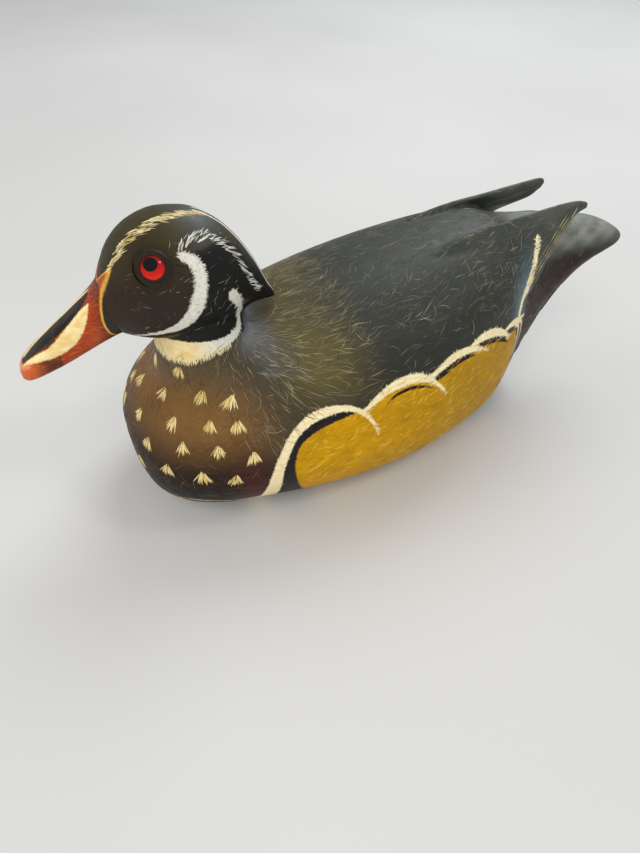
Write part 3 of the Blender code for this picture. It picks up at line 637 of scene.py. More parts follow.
# The dark lines just inside the second, third and fourth scallops
DARK = [
    [(-24, 64.5, 0.1), (-17.5, 69.3, 0.8), (-10, 70.9, 0.9), (-3, 70.2, 0.9), (5.5, 66.8, 0.2)],
    [(7, 69.8, 0.3), (13, 72, 1.0), (20, 74, 1.1), (28, 74.4, 1.1), (35, 72.8, 0.2)],
    [(36, 76.2, 0.4), (44.5, 75.4, 1.2), (53, 72.8, 1.3), (60, 68.5, 0.9), (64, 65, 0.2)],
    [(68, 70.5, 0.9), (73, 68.5, 1.2), (76, 62, 1.0)],
]
STRIPE = [(71, 70.8, 1.2), (73.2, 73.4, 2.3), (74.6, 78.5, 2.6), (77, 86, 2.4), (80.6, 94.6, 1.9),
          (83.6, 102.3, 1.7), (85.4, 107.6, 1.6), (86.4, 112.5, 1.0)]


def middle(line, start, end):
    """The y and z of some of a scallop's points, for the outlines that follow it."""
    return [(y, z) for y, z, _ in line[start:end]]


# The whole side pocket, which is dark under its cream border, and the ochre inside it, as y and z
POCKET = ([(-80, -5)] + middle(CREAM[0], 2, 11) + [(-33.5, 66.4)] + middle(CREAM[1], 1, 5)
          + middle(CREAM[2], 0, 4) + middle(CREAM[3], 0, 4)
          + [(58, 75.6), (66, 76), (77, 71), (84, 68), (89, 60), (91, 50), (91, 38), (88.5, 24), (82, 10),
             (74, -5)])
OCHRE = [(-44, -5), (-52, 4), (-60, 13), (-65, 23), (-68.2, 34), (-69.4, 44), (-67.2, 53.8), (-63.1, 58.6),
         (-57, 61.8), (-50, 64), (-42, 65.8), (-36, 67), (-27, 70.3), (-19.5, 73.7), (-11, 75.2), (-3, 74.6),
         (3, 71.5), (7, 69.8), (14, 73), (23, 75), (31, 75), (37, 76.5), (44.5, 76), (53, 73.5), (59, 70.5),
         (66, 70.5), (72, 68), (76, 62), (78, 55), (79.5, 46), (79.4, 36), (76.5, 24), (69.5, 12), (60, 3),
         (54, -5)]

# Head: x, y, z and half width
BRIDLE = [(19.8, -99.5, 141, 1.0), (20.5, -97, 140, 1.9), (21.3, -94.2, 137.6, 2.4), (22.7, -93, 134, 2.5),
          (24.1, -93.1, 129.4, 2.5), (25.2, -94.5, 124.5, 2.9), (25.6, -97, 119.2, 3.1),
          (25.3, -100.9, 114.4, 3.0), (24.1, -105.4, 111, 2.4), (22.4, -111.5, 109, 1.4),
          (20, -117.6, 107.6, 0.8), (15.6, -123.4, 105.8, 0.5)]
COLLAR = [(20.8, -79.6, 118.6, 2.5), (19.6, -77.4, 115, 2.3), (17.3, -75.8, 110.5, 1.5),
          (15.4, -75.4, 106, 1.4), (15.2, -75.6, 102.5, 1.7), (17, -76.4, 99.4, 1.7), (20.5, -79.8, 98, 1.9),
          (23.2, -84, 97.6, 2.1), (24.5, -89, 97.2, 2.5), (24.5, -94.8, 96.8, 3.4), (23, -99.8, 95.8, 4.5),
          (19.8, -104.6, 95, 5.3), (14.3, -109.2, 94.4, 5.2), (8, -112, 93.8, 4.8), (2, -113, 93.6, 4.6),
          (-2, -113, 93.6, 4.6)]
# Height and y of the line round the bill's base; the forehead's feathers come down between its two upper ends
BILL_EDGE = [(103, -119), (104.6, -125), (105.6, -129), (107, -131.6), (108.8, -133.2), (111.6, -134.2),
             (115.1, -134.5), (119.1, -134), (122.5, -133), (126.2, -131.4), (129.7, -129.6), (133, -127.8),
             (135.6, -126.4)]
FOREHEAD_Z = 127.1
BEHIND_BRIDLE = [(-98.5, 141), (-94.6, 136), (-92.6, 131.5), (-93.1, 126.8), (-95.8, 121.2), (-100.4, 116.2),
                 (-106.5, 112.2), (-112, 109), (-112, 98), (-60, 90), (-45, 100), (-62, 125), (-75, 137),
                 (-84, 141)]
SUPERCILIUM = [(7.8, -127.2, 135, 1.0), (8.8, -124.6, 138.3, 1.4), (8.8, -121.9, 141.6, 1.8),
               (8.6, -119.3, 144.2, 2.1), (8.2, -115.6, 147, 2.3), (8, -111.1, 149.2, 2.3),
               (7.6, -106.6, 150.8, 2.3), (6.8, -101.1, 151.8, 2.1), (5.6, -95.6, 151.7, 1.8),
               (4.2, -89, 150.7, 1.3), (1.8, -82.1, 147.8, 0.7)]
CREST_STRIPE = [(17.8, -99.2, 143.6, 1.2), (16.5, -95.6, 144.9, 1.9), (14.9, -90.8, 145.3, 2.2),
                (13.3, -85.2, 144, 2.3), (12.6, -80, 140.4, 2.3), (12.4, -75.9, 136, 2.2),
                (12, -72.8, 131.6, 2.2), (12.4, -70.5, 126.5, 2.2), (12.7, -68.7, 121.3, 2.2),
                (11.2, -65.6, 115.3, 2.0), (9.2, -62.7, 110.3, 1.4)]
RIDGE = [(1.6, -87, 150.6, 0.3), (2.0, -82, 148, 0.5), (2.3, -76, 143.5, 0.5), (2.9, -70, 136.3, 0.5),
         (3.2, -64, 127, 0.5), (3.0, -59, 117, 0.5), (2.3, -55, 107.7, 0.5), (1.0, -53, 103.4, 0.3)]

# The rear edges of the left and the right wing
WING_EDGES = [[(31.5, 80, 88), (29, 88, 95), (26, 96, 102.5), (21.5, 106, 112), (17.5, 116, 121)],
              [(-32.5, 79, 88), (-28.5, 84, 97), (-25, 89, 105), (-23, 98, 110), (-22, 108, 112)]]
# Painted shade: dark lines over and behind the left eye, where its creases would be shaded
CREASE_SHADOWS = [[(16.5, -119.3, 138.7, 1), (15, -116, 143.4, 1), (15.8, -112.1, 145, 1), (17.3, -107.8, 144.6, 1),
            (19, -104.3, 143, 1), (20.7, -102.2, 140.4, 1)],
           [(21, -102.4, 138.5, 1), (22, -100, 137.4, 1), (22.6, -97.6, 137, 1)],
           [(20.2, -101.6, 142.2, 1), (20.8, -99.8, 141.8, 1), (21.2, -98.4, 141.8, 1)],
           [(21.8, -102.8, 135.6, 1), (22.8, -100.8, 134.4, 1), (23.4, -98.6, 133.9, 1)]]

# Bill: x, y, z and half width of the pale patch along each side
BILL_PATCH = [(5.6, -138.6, 120.1, 0.6), (6.6, -141.4, 116.7, 2.4), (7.2, -145.1, 112, 3.3),
              (7.6, -149.4, 108, 3.6), (8, -153.3, 105.2, 3.2), (8, -158.6, 102.8, 2.3),
              (6.6, -165, 101, 1.7), (4.8, -168.6, 99.1, 1.1), (3.2, -170.8, 97.3, 0.5)]
CULMEN = [(0, -138, 121.6, 1.6), (0, -142, 118.7, 4.4), (0, -150, 113, 5.8), (0, -158, 107.3, 5.8),
          (0, -165, 102.2, 4.6), (0, -169.5, 98.4, 2.6)]
# The right patch's upper edge, which runs along the top of the bill
FAR_PATCH = [(-2.2, -136.5, 122.8, 0.5), (-3.2, -142, 118.4, 1.2), (-3.8, -150, 112.8, 1.4),
             (-3.8, -158, 107.0, 1.3), (-3.2, -165, 101.8, 1.1), (-2, -169.5, 98.2, 0.7)]
BILL_BLUSH = [(7, -169, 98, 0.8), (4.5, -171, 96.5, 1.2), (0, -172.6, 95.5, 1.4), (-4, -171.5, 96, 1.2)]


# The markings that are bands along lines, by the name of their field at the mesh's points
MARKINGS = {"cream": CREAM, "dark": DARK, "stripe": [STRIPE],
            "bridle": [BRIDLE], "collar": [COLLAR], "ridge": [RIDGE]}
BLACK = (20, 20, 18)
HEAD_SKIN = 0.6               # how far outside its form the head's paint reaches
FLAT_EDGE_Z = 2.5             # the side pocket ends above the flat underside


def inside(outline, y, z):
    """Whether places fall inside an outline seen from the side."""
    result = np.zeros(len(y), bool)
    for (y0, z0), (y1, z1) in zip(outline, outline[1:] + outline[:1]):
        crosses = (z0 > z) != (z1 > z)
        result ^= crosses & (y < (y1 - y0) * (z - z0) / (z1 - z0 + 1e-12) + y0)
    return result


def fold(places):
    """The places with the right side laid over the left, so that both sides carry the markings."""
    return np.stack([np.abs(places[:, 0]), places[:, 1], places[:, 2]], 1)


def region_field(places, outline, skin):
    """Signed distance from the edge of an outline on the side, negative inside."""
    edge, _ = skin.lifted([(y, z, 0.0) for y, z in outline])
    gap = distance_to(places, edge)
    return np.where(inside(outline, places[:, 1], places[:, 2]), -gap, gap)


def lines_field(places, lines, skin):
    return np.minimum.reduce([distance_to(places, *skin.lifted(line)) for line in lines])


def shade(r, g, b):
    """A linear colour from display values of 0 to 255."""
    c = np.array([r, g, b], float) / 255
    return np.where(c <= 0.04045, c / 12.92, ((c + 0.055) / 1.055) ** 2.4)


def ramp(value, low, high):
    t = np.clip((value - low) / (high - low), 0, 1)
    return t * t * (3 - 2 * t)


def soft_spot(y, z, middle, reach):
    """A share that is 1 at a place on the side and fades away from it."""
    return np.exp(-((y - middle[0]) / reach[0]) ** 2 - ((z - middle[1]) / reach[1]) ** 2)


def layered(base, *layers):
    """Colours laid over a base in turn, each as a display colour and its share at every point."""
    for over, share in layers:
        base = base + (shade(*over) - base) * share[:, None]
    return base


def plain(rgb, count):
    return np.tile(shade(*rgb), (count, 1))


def body_ground(x, y, z):
    # painted shade: the breast's chestnut goes nearly black toward the bottom, under its curve
    chest_with_painted_shade = layered(plain((15, 7, 3), len(x)),
                    ((34, 18, 6), ramp(z, 24, 44)),
                    ((124, 90, 48), ramp(z, 43, 68)),
                    ((92, 78, 54), ramp(z, 70, 88)))
    back = layered(plain((48, 48, 42), len(x)),
                   ((54, 57, 50), ramp(z, 75, 112)),
                   ((104, 92, 50), 0.8 * soft_spot(y, z, (-50, 88), (20, 17))))
    brown = 1 / (1 + np.exp(np.clip((y + 76 + 0.3 * (z - 58)) / 7, -30, 30)))
    maroon = np.exp(-((y + 84 + 0.1 * z) / 8) ** 2) * (1 - ramp(z, 30, 70))
    teal = soft_spot(y - 0.2 * (z - 85), z, (74, 86), (7, 17)) * (x > 15)
    rump = ramp(y, 84, 92) * (1 - ramp(z, 80, 96))
    on_wing = np.maximum(ramp(x, 18.5, 20.5), ramp(z, 110, 113) * (x > 11))
    upper = ramp(y, 76, 94) * ramp(z, 88, 99) * (1 - 0.85 * on_wing)
    wave = 0.75 + 0.25 * np.sin(y * 0.42 + x * 0.5) * np.sin(z * 0.55)
    return layered(back + (chest_with_painted_shade - back) * brown[:, None],
                   ((74, 20, 12), 0.85 * maroon),
                   # painted highlight: a grey-blue pool of light on the nape
                   ((122, 128, 136), 0.7 * soft_spot(y, z, (-71, 94), (8, 6))),
                   ((88, 116, 126), 0.95 * teal),
                   ((34, 15, 11), rump * (1 - ramp(y, 132, 150))),
                   ((152, 155, 147), 0.8 * upper * wave),
                   ((34, 30, 28), ramp(y, 128, 145) * (1 - ramp(z, 84, 90))),
                   ((46, 32, 24), 1 - ramp(z, 1.0, 7.0)),
                   (BLACK, ramp(z, 94.5, 96.5) * (y < -73.5) * (x < 30)))


def head_ground(x, y, z):
    behind = inside(BEHIND_BRIDLE, y, z).astype(float)
    around_eye = np.exp(-(np.hypot(y - EYE_Y, z - EYE_Z) / 9.5) ** 4) * (x > 9)
    return layered(plain((45, 34, 25), len(x)),
                   ((60, 52, 28), ramp(z, 124, 146)),
                   # painted highlight: a bluish sheen on the top of the crest
                   ((92, 100, 104), 0.6 * soft_spot(y, z, (-84, 149), (9, 7))),
                   (BLACK, behind * (1 - ramp(z, 138, 146))),
                   ((34, 26, 20), 0.6 * around_eye))


def ground_colors(places, head_gap):
    """The soft colours that lie under the markings, with some painted light and shade."""
    x, y, z = fold(places).T
    return np.where((head_gap < HEAD_SKIN)[:, None], head_ground(x, y, z), body_ground(x, y, z))


def head_gap_of(places):
    """Rough distance outside the head's own form, negative inside it."""
    rows = np.array(HEAD)
    y = np.clip(places[:, 1], rows[0, 0] + 0.01, rows[-1, 0] - 0.01)
    top, bottom, half, widest, above, below = [smooth(rows[:, 0], rows[:, k])(y) for k in range(1, 7)]
    up = places[:, 2] > widest
    tall = np.where(up, top - widest, widest - bottom)
    fullness = np.where(up, above, below)
    reach = ((np.abs(places[:, 0]) / np.maximum(half, 0.1)) ** fullness
             + (np.abs(places[:, 2] - widest) / np.maximum(tall, 0.1)) ** fullness) ** (1 / fullness)
    off_end = np.maximum(np.maximum(rows[0, 0] - places[:, 1], places[:, 1] - rows[-1, 0]), 0)
    return (reach - 1) * np.minimum(half, tall) + off_end


def store(obj, name, values):
    kind = "FLOAT" if values.ndim == 1 else "FLOAT_COLOR"
    attribute = obj.data.attributes.new(name, kind, "POINT")
    if values.ndim == 1:
        attribute.data.foreach_set("value", values.astype(np.float32))
    else:
        full = np.concatenate([values, np.ones((len(values), 1))], 1)
        attribute.data.foreach_set("color", full.astype(np.float32).ravel())


def paint_piece(obj, skin):
    """Stores the ground colour and every marking's distance field at the piece's points."""
    places = places_of(obj)
    left = fold(places)
    head_gap = head_gap_of(places)
    store(obj, "ground", ground_colors(places, head_gap))
    off_head = np.where(head_gap < HEAD_SKIN, FAR, -FAR)
    off_side = np.maximum(off_head, FLAT_EDGE_Z - places[:, 2])
    store(obj, "pocket", np.maximum(region_field(left, POCKET, skin), off_side))
    store(obj, "ochre", np.maximum(region_field(left, OCHRE, skin), off_side))
    for name, lines in MARKINGS.items():
        store(obj, name, lines_field(left, lines, skin))
    store(obj, "bill_side", np.where(left[:, 2] < 104.2, FAR, bill_side(left)))


def bill_side(left):
    """How far a place lies behind the line round the bill's base; negative on the bill's side."""
    heights, edge = np.array(BILL_EDGE).T
    return np.maximum(left[:, 1] - np.interp(left[:, 2], heights, edge), left[:, 2] - FOREHEAD_Z - left[:, 0])


def paint_bill(obj, skin):
    """Stores the bill's ground colour and its markings' distance fields."""
    places = places_of(obj)
    left = fold(places)
    x, y, z = left.T
    rows = np.array(BILL)
    top, bottom = smooth(rows[:, 0], rows[:, 1])(y), smooth(rows[:, 0], rows[:, 2])(y)
    height = (z - bottom) / np.maximum(top - bottom, 0.1)
    # painted shade: the red darkens toward the bill's underside
    color = layered(plain((98, 42, 14), len(x)),
                    ((178, 66, 18), ramp(height, 0.3, 0.9)),
                    ((206, 96, 40), ramp(y, -160, -169)),
                    ((96, 40, 22), ramp(y, -141, -131) * ramp(height, 0.5, 0.85)))
    store(obj, "ground", color)
    patch = lines_field(left, [BILL_PATCH], skin)
    store(obj, "patch", np.minimum(patch, lines_field(places, [FAR_PATCH], skin)))
    store(obj, "blush", lines_field(left, [BILL_BLUSH], skin))
    store(obj, "culmen", lines_field(left, [CULMEN], skin))
    store(obj, "bill_side", bill_side(left))


# ---------------------------------------------------------------- brush strokes laid on the surface

class Strokes:
    """Thin raised brush strokes: each is a closed ribbon, pointed at both ends, with its own tone."""

    def __init__(self, skin, seed):
        self.skin = skin
        self.rng = random.Random(seed)
        self.points, self.faces, self.tones = [], [], []

    def route(self, start, heading, length, bend, step=1.1):
        """Points and normals of a stroke that starts near a place and turns by bend, in radians."""
        count = max(3, int(length / step) + 1)
        place, normal = self.skin.nearest(start)
        heading = Vector(heading)
        line = []
        for _ in range(count + 1):
            heading = (heading - normal * heading.dot(normal)).normalized()
            line.append((place, normal))
            heading = Matrix.Rotation(bend / count, 3, normal) @ heading
            place, normal = self.skin.nearest(place + heading * (length / count))
        return line

    def ribbon(self, line, width, tone, blunt=0.5, height=0.09, tip=0.45):
        """A ribbon along a route: blunt is its start's share of the width, tip the share that tapers off."""
        first = len(self.points)
        count = len(line)
        for i, (place, normal) in enumerate(line):
            ahead = line[min(i + 1, count - 1)][0] - line[max(i - 1, 0)][0]
            across = normal.cross(ahead).normalized()
            t = i / (count - 1)
            share = (blunt + (1 - blunt) * min(1.0, t / 0.3)) * min(1.0, (1 - t) / tip + 0.04)
            half = across * width * 0.5 * max(share, 0.05)
            sunk = normal * -0.035
            crown = place + normal * height * max(share, 0.3)
            self.points += [place + half + sunk, crown, place - half + sunk]
        for i in range(count - 1):
            a, b = first + 3 * i, first + 3 * i + 3
            self.faces += [(a, a + 1, b + 1, b), (a + 1, a + 2, b + 2, b + 1), (a + 2, a, b, b + 2)]
        last = first + 3 * (count - 1)
        self.faces += [(first, first + 2, first + 1), (last, last + 1, last + 2)]
        self.tones += [tone] * (3 * count)

    def stroke(self, start, heading, length, bend, width, tone, blunt=0.5, height=0.09, tip=0.45):
        self.ribbon(self.route(start, heading, length, bend), width, tone, blunt, height, tip)

    def along(self, line, width, tone, height=0.1):
        """A ribbon of even width along a lifted line of points."""
        spots = [self.skin.nearest(p) for p in line]
        self.ribbon(spots, width, tone, 0.6, height)

    def build(self, name, paint_name, stops, slot="body_paint"):
        """All the strokes as one piece, in a paint that runs through the display colours in stops."""
        obj = make_object(name, [p * MM for p in self.points], self.faces)
        store(obj, "tone", np.array(self.tones, float))
        return dress(obj, toned(paint_name, stops))


def tangent_frame(normal):
    """Two directions along the surface: toward the tail, and up."""
    back = Vector((0, 1, 0))
    back = (back - normal * back.dot(normal)).normalized()
    return back, normal.cross(back) * (1 if normal.cross(back).z >= 0 else -1)


def on_body(rng, skin, y_range, z_range, side):
    """A random place on one side of the body."""
    y, z = rng.uniform(*y_range), rng.uniform(*z_range)
    return skin.from_side(side, y, z)


def on_back(rng, skin, y_range, reach):
    """A random place seen from above."""
    place = Vector((rng.uniform(-reach, reach), rng.uniform(*y_range), OUTSIDE))
    return skin.tree.ray_cast(place, Vector((0, 0, -1)))[0]


# y and z of the cream border's upper edge
POCKET_TOP = [(-90, 8), (-84, 30), (-78, 54), (-66, 66), (-52, 73), (-40, 73), (-33, 68), (-24, 76),
              (-14, 80), (-4, 79), (3, 74), (10, 79), (20, 83), (32, 82), (40, 84), (50, 83), (60, 78),
              (75, 75), (90, 66)]


def pocket_top(y):
    """Height of the cream border's upper edge along the flank."""
    return float(np.interp(y, *zip(*POCKET_TOP)))


def hairlines(skin, seed, count, lengths, widths, near_share):
    """The fine comb-painted hair strokes, which spread from the neck and sweep back over the wings."""
    strokes = Strokes(skin, seed)
    rng = strokes.rng
    while count > 0:
        side = rng.choice((-1, 1))
        near_neck = rng.random() < near_share
        if rng.random() < 0.5:
            spot = on_back(rng, skin, (-74, -26) if near_neck else (-30, 106), 48)
        else:
            spot = on_body(rng, skin, (-92, -26) if near_neck else (-30, 98), (58, 118), side)
        if spot is None or spot.z < max(pocket_top(spot.y) + 1.5, 56) or spot.z > 126:
            continue
        if spot.y < -54 and spot.z > 97:
            continue
        back, up = tangent_frame(skin.nearest(spot)[1])
        outward = Vector((spot.x * 0.9, spot.y + 84, spot.z - 96)).normalized()
        pull = math.exp(-max(spot.y + 62, 0) / 26)
        angle = rng.gauss(0.36, 0.26) if rng.random() < 0.84 else rng.uniform(-1.8, 1.8)
        sweep = back * math.cos(angle) + up * math.sin(angle)
        heading = outward * pull + sweep * (1.15 - pull)
        curl = rng.gauss(0, 0.4) if rng.random() < 0.88 else rng.choice((-1, 1)) * rng.uniform(1.2, 2.2)
        strokes.stroke(spot, heading, rng.uniform(*lengths) * rng.uniform(0.6, 1.3), curl,
                       rng.uniform(*widths), rng.random(), 0.3, 0.06)
        count -= 1
    return strokes


def combed(strokes, spot, lean, lengths, widths, darker, blunt):
    """One short stroke combed backward along the surface; darker is the power that its tone is raised to."""
    rng = strokes.rng
    back, up = tangent_frame(strokes.skin.nearest(spot)[1])
    angle = rng.gauss(*lean)
    strokes.stroke(spot, back * math.cos(angle) + up * math.sin(angle), rng.uniform(*lengths),
                   rng.gauss(0, 0.4), rng.uniform(*widths), rng.random() ** darker, blunt, 0.06)


def breast_lines(skin, seed, count):
    """Fine curved scratches that run round the breast, and combed lines down the front of the neck."""
    strokes = Strokes(skin, seed)
    rng = strokes.rng
    while count > 0:
        angle = rng.uniform(-1.9, 1.9)
        z = rng.uniform(6, 88)
        origin = Vector((0, -80, z))
        out = Vector((math.sin(angle), -math.cos(angle), 0))
        spot, normal, _, _ = skin.tree.ray_cast(origin + out * 120, -out)
        if spot is None or spot.y > -82 + 0.12 * (z - 40) or spot.z > 90:
            continue
        round_way = normal.cross(Vector((0, 0, 1))).normalized()
        down = round_way.cross(normal)
        turn = rng.gauss(0, 0.5) + (1.3 if z > 66 and rng.random() < 0.6 else 0)
        heading = round_way * math.cos(turn) + down * math.sin(turn)
        strokes.stroke(spot, heading, rng.uniform(4, 13), rng.gauss(0, 0.8), rng.uniform(0.2, 0.34),
                       rng.random() ** 1.4, 0.3, 0.06)
        count -= 1
    return strokes


# Where the pale fans sit on the breast: x, y, z of each on the left side and the middle
FANS = [(-0.6, -115.1, 79.3), (-9.2, -123.6, 64.7), (-19.6, -125.1, 60.9), (-14.7, -132.8, 51.3),
        (13.7, -117.1, 69.9), (18.8, -108.1, 83.7), (31.3, -102.4, 74.3), (39.6, -90.9, 75.9),
        (9.3, -129.9, 57.5), (-3.5, -136.8, 42), (29.2, -118.3, 63.8), (42.1, -103.9, 67),
        (49.2, -92.1, 67.2), (24.1, -130.4, 51.5), (40.1, -117.4, 57.2), (50.7, -102.9, 57.9),
        (57.2, -88.2, 54.1), (18.4, -135, 36.2), (37.9, -126.4, 44.3), (50.6, -112, 45), (56.6, -97.4, 42.4)]


def breast_fans(skin, seed):
    """The breast's spots: each is a fan of short strokes that open downward."""
    strokes = Strokes(skin, seed)
    rng = strokes.rng
    places = [Vector(p) for p in FANS] + [Vector((-x, y, z)) for x, y, z in FANS if x > 15]
    for place in places:
        place += Vector((rng.uniform(-1, 1), 0, rng.uniform(-0.8, 0.8)))
        spot, normal = skin.nearest(place)
        side = normal.cross(Vector((0, 0, 1))).normalized()
        down = side.cross(normal)
        down = down if down.z < 0 else -down
        size, lean = rng.uniform(0.9, 1.1), rng.gauss(0, 0.09)
        apex = spot - down * 3.8
        for k in range(17):
            angle = lean + (k % 9 - 4) * 0.125 + rng.gauss(0, 0.06)
            heading = down * math.cos(angle) + side * math.sin(angle)
            skip = rng.uniform(0.0, 3.6)
            start = apex + heading * skip + side * (k % 9 - 4) * 0.14
            length = max(size * (7.0 + rng.gauss(0, 0.7)) - skip, 1.6)
            strokes.stroke(start, heading, length, rng.gauss(0, 0.18), rng.uniform(0.45, 0.85),
                           rng.random() ** 0.7, 0.6, 0.12, 0.3)
    return strokes


def both_sides(spots):
    """A line's points as they are, and mirrored for the right side."""
    return [np.array(spots, float), np.array(spots, float) * [-1, 1, 1]]


def on_band(strokes, spots, i):
    """The place i points along a band's line, with the directions ahead and across on the surface."""
    k = int(i)
    place = Vector(spots[k] + (spots[k + 1] - spots[k]) * (i - k))
    ahead = Vector(spots[k + 1] - spots[k]).normalized()
    return k, place, ahead, strokes.skin.nearest(place)[1].cross(ahead).normalized()


def tufts(strokes, line, half, count, lengths, widths, tones, lean, edges=(1, -1), out=0.85):
    """Short strokes that stand out from a band's edges, leaning along it."""
    rng = strokes.rng
    for spots in both_sides(line):
        for _ in range(count):
            k, place, ahead, across = on_band(strokes, spots, rng.uniform(0, len(spots) - 1.001))
            across = across * (1 if spots[0][0] >= 0 else -1)
            edge = rng.choice(edges)
            heading = (across * edge * math.cos(lean) + ahead * math.sin(lean)).normalized()
            heading = (heading + ahead * rng.gauss(0, 0.18)).normalized()
            start = place + across * edge * float(half[k]) * out
            strokes.stroke(start, heading, rng.uniform(*lengths), rng.gauss(0, 0.15), rng.uniform(*widths),
                           rng.uniform(*tones), 0.8, 0.1)


def slanted_row(strokes, line, half, count, lengths, widths, tones, slant, far_out=0.0):
    """A row of short strokes that cross a band at a slant, as a broken stripe is painted.

    The right side's row drifts outward by far_out along its way, as it lies lower on the crown.
    """
    rng = strokes.rng
    for spots in both_sides(line):
        flip = 1 if spots[:, 0].sum() >= 0 else -1
        if flip < 0:
            spots[:, 0] -= far_out * np.linspace(0, 1, len(spots)) ** 0.5
        for n in range(count):
            i = (n + rng.random()) / count * (len(spots) - 1.001)
            k, place, ahead, across = on_band(strokes, spots, i)
            across = across * flip
            angle = slant + rng.gauss(0, 0.12)
            heading = ahead * math.cos(angle) + across * math.sin(angle)
            length = rng.uniform(*lengths)
            start = place + across * rng.uniform(-1, 1) * float(half[k]) - heading * length * 0.5
            strokes.stroke(start, heading, length, rng.gauss(0, 0.2), rng.uniform(*widths),
                           rng.uniform(*tones), 0.4, 0.1)


def flank_lines(skin, seed, count):
    """Short combed lines on the ochre side pocket, lighter and darker than its ground."""
    strokes = Strokes(skin, seed)
    rng = strokes.rng
    while count > 0:
        side = rng.choice((-1, 1))
        y, z = rng.uniform(-68, 82), rng.uniform(3, 76)
        if not inside(OCHRE, np.array([y]), np.array([z]))[0]:
            continue
        spot = skin.from_side(side, y, z)
        if spot is None:
            continue
        combed(strokes, spot, (0.35, 0.28), (2.0, 6.5), (0.28, 0.6), 1, 0.3)
        count -= 1
    return strokes


# ---------------------------------------------------------------- materials

class Paint:
    """A small helper that builds one node material around its Principled shader."""

    def __init__(self, name, roughness=0.5, metallic=0.0, coat=0.0, coat_roughness=0.1, specular=0.5):
        self.material = bpy.data.materials.new(name)
        self.material.use_nodes = True
        self.tree = self.material.node_tree
        self.shader = self.tree.nodes["Principled BSDF"]
        self.shader.inputs["Roughness"].default_value = roughness
        self.shader.inputs["Metallic"].default_value = metallic
        self.shader.inputs["Coat Weight"].default_value = coat
        self.shader.inputs["Coat Roughness"].default_value = coat_roughness
        self.shader.inputs["Specular IOR Level"].default_value = specular
        self.place = self.tree.nodes.new("ShaderNodeTexCoord").outputs["Object"]

    def plug(self, value, socket):
        if isinstance(value, bpy.types.NodeSocket):
            self.tree.links.new(value, socket)
        elif hasattr(value, "__len__"):
            socket.default_value = (*value, 1.0)[:len(socket.default_value)]
        else:
            socket.default_value = value

    def axis(self, name):
        node = self.tree.nodes.new("ShaderNodeSeparateXYZ")
        self.tree.links.new(self.place, node.inputs[0])
        return node.outputs[name]

    def attribute(self, name, output="Fac"):
        node = self.tree.nodes.new("ShaderNodeAttribute")
        node.attribute_name = name
        return node.outputs[output]

    def math(self, kind, a, b=0.5, clamp=False):
        node = self.tree.nodes.new("ShaderNodeMath")
        node.operation, node.use_clamp = kind, clamp
        self.plug(a, node.inputs[0])
        self.plug(b, node.inputs[1])
        return node.outputs[0]

    def noise(self, size, detail=2.0, stretch=(1, 1, 1), distortion=0.0):
        """Noise whose grain is about size millimetres, longer along the axes with a larger stretch."""
        mapping = self.tree.nodes.new("ShaderNodeMapping")
        mapping.inputs["Scale"].default_value = [1 / (size * MM * s) for s in stretch]
        self.tree.links.new(self.place, mapping.inputs["Vector"])
        node = self.tree.nodes.new("ShaderNodeTexNoise")
        node.inputs["Scale"].default_value = 1.0
        node.inputs["Detail"].default_value = detail
        node.inputs["Distortion"].default_value = distortion
        self.tree.links.new(mapping.outputs[0], node.inputs["Vector"])
        return node.outputs["Fac"]

    def mix(self, share, a, b, kind="MIX"):
        node = self.tree.nodes.new("ShaderNodeMix")
        node.data_type, node.blend_type = "RGBA", kind
        self.plug(share, node.inputs[0])
        self.plug(a, node.inputs[6])
        self.plug(b, node.inputs[7])
        return node.outputs[2]

    def mottled(self, grain, low, high, first, second):
        """A colour that goes from one display colour to another as the grain goes from low to high."""
        return self.mix(self.spread(grain, low, high), tuple(shade(*first)), tuple(shade(*second)))

    def tinted(self, color, factor, grain, low, high, share):
        """A colour multiplied by a factor, in part, where the grain is high."""
        part = self.spread(grain, low, high, 0.0, share)
        return self.mix(part, color, self.mix(1.0, color, factor, "MULTIPLY"))

    def tipped(self, color, over, value, low, high, share):
        """A colour with a display colour laid over it, in part, where a value is high."""
        return self.mix(self.spread(value, low, high, 0.0, share), color, tuple(shade(*over)))

    def marked(self, color, name, over, grain, ragged, soft=0.35):
        """A colour with a marking laid over it; the grain makes its edge ragged, in millimetres."""
        return self.mix(self.edge(self.attribute(name), (grain, ragged), soft), color, over)

    def spread(self, value, low, high, to_low=0.0, to_high=1.0):
        """A value spread from one range to another, held at its ends."""
        node = self.tree.nodes.new("ShaderNodeMapRange")
        node.clamp = True
        self.plug(value, node.inputs["Value"])
        for label, number in (("From Min", low), ("From Max", high), ("To Min", to_low), ("To Max", to_high)):
            node.inputs[label].default_value = number
        return node.outputs[0]

    def bump(self, height, strength, distance_mm, below=None):
        node = self.tree.nodes.new("ShaderNodeBump")
        node.inputs["Strength"].default_value = strength
        node.inputs["Distance"].default_value = distance_mm * MM
        self.plug(height, node.inputs["Height"])
        if below is not None:
            self.tree.links.new(below, node.inputs["Normal"])
        return node.outputs[0]

    def edge(self, field, ragged, soft=0.35):
        """How much a marking covers: its field, made uneven by noise, turned into a share."""
        grain, depth = ragged
        uneven = self.math("ADD", field, self.math("MULTIPLY", self.math("SUBTRACT", grain, 0.5), depth))
        return self.spread(uneven, -soft, soft, 1.0, 0.0)

    def finish(self, color=None, roughness=None, normal=None):
        for value, label in ((color, "Base Color"), (roughness, "Roughness"), (normal, "Normal")):
            if value is not None:
                self.plug(value, self.shader.inputs[label])
        return self.material


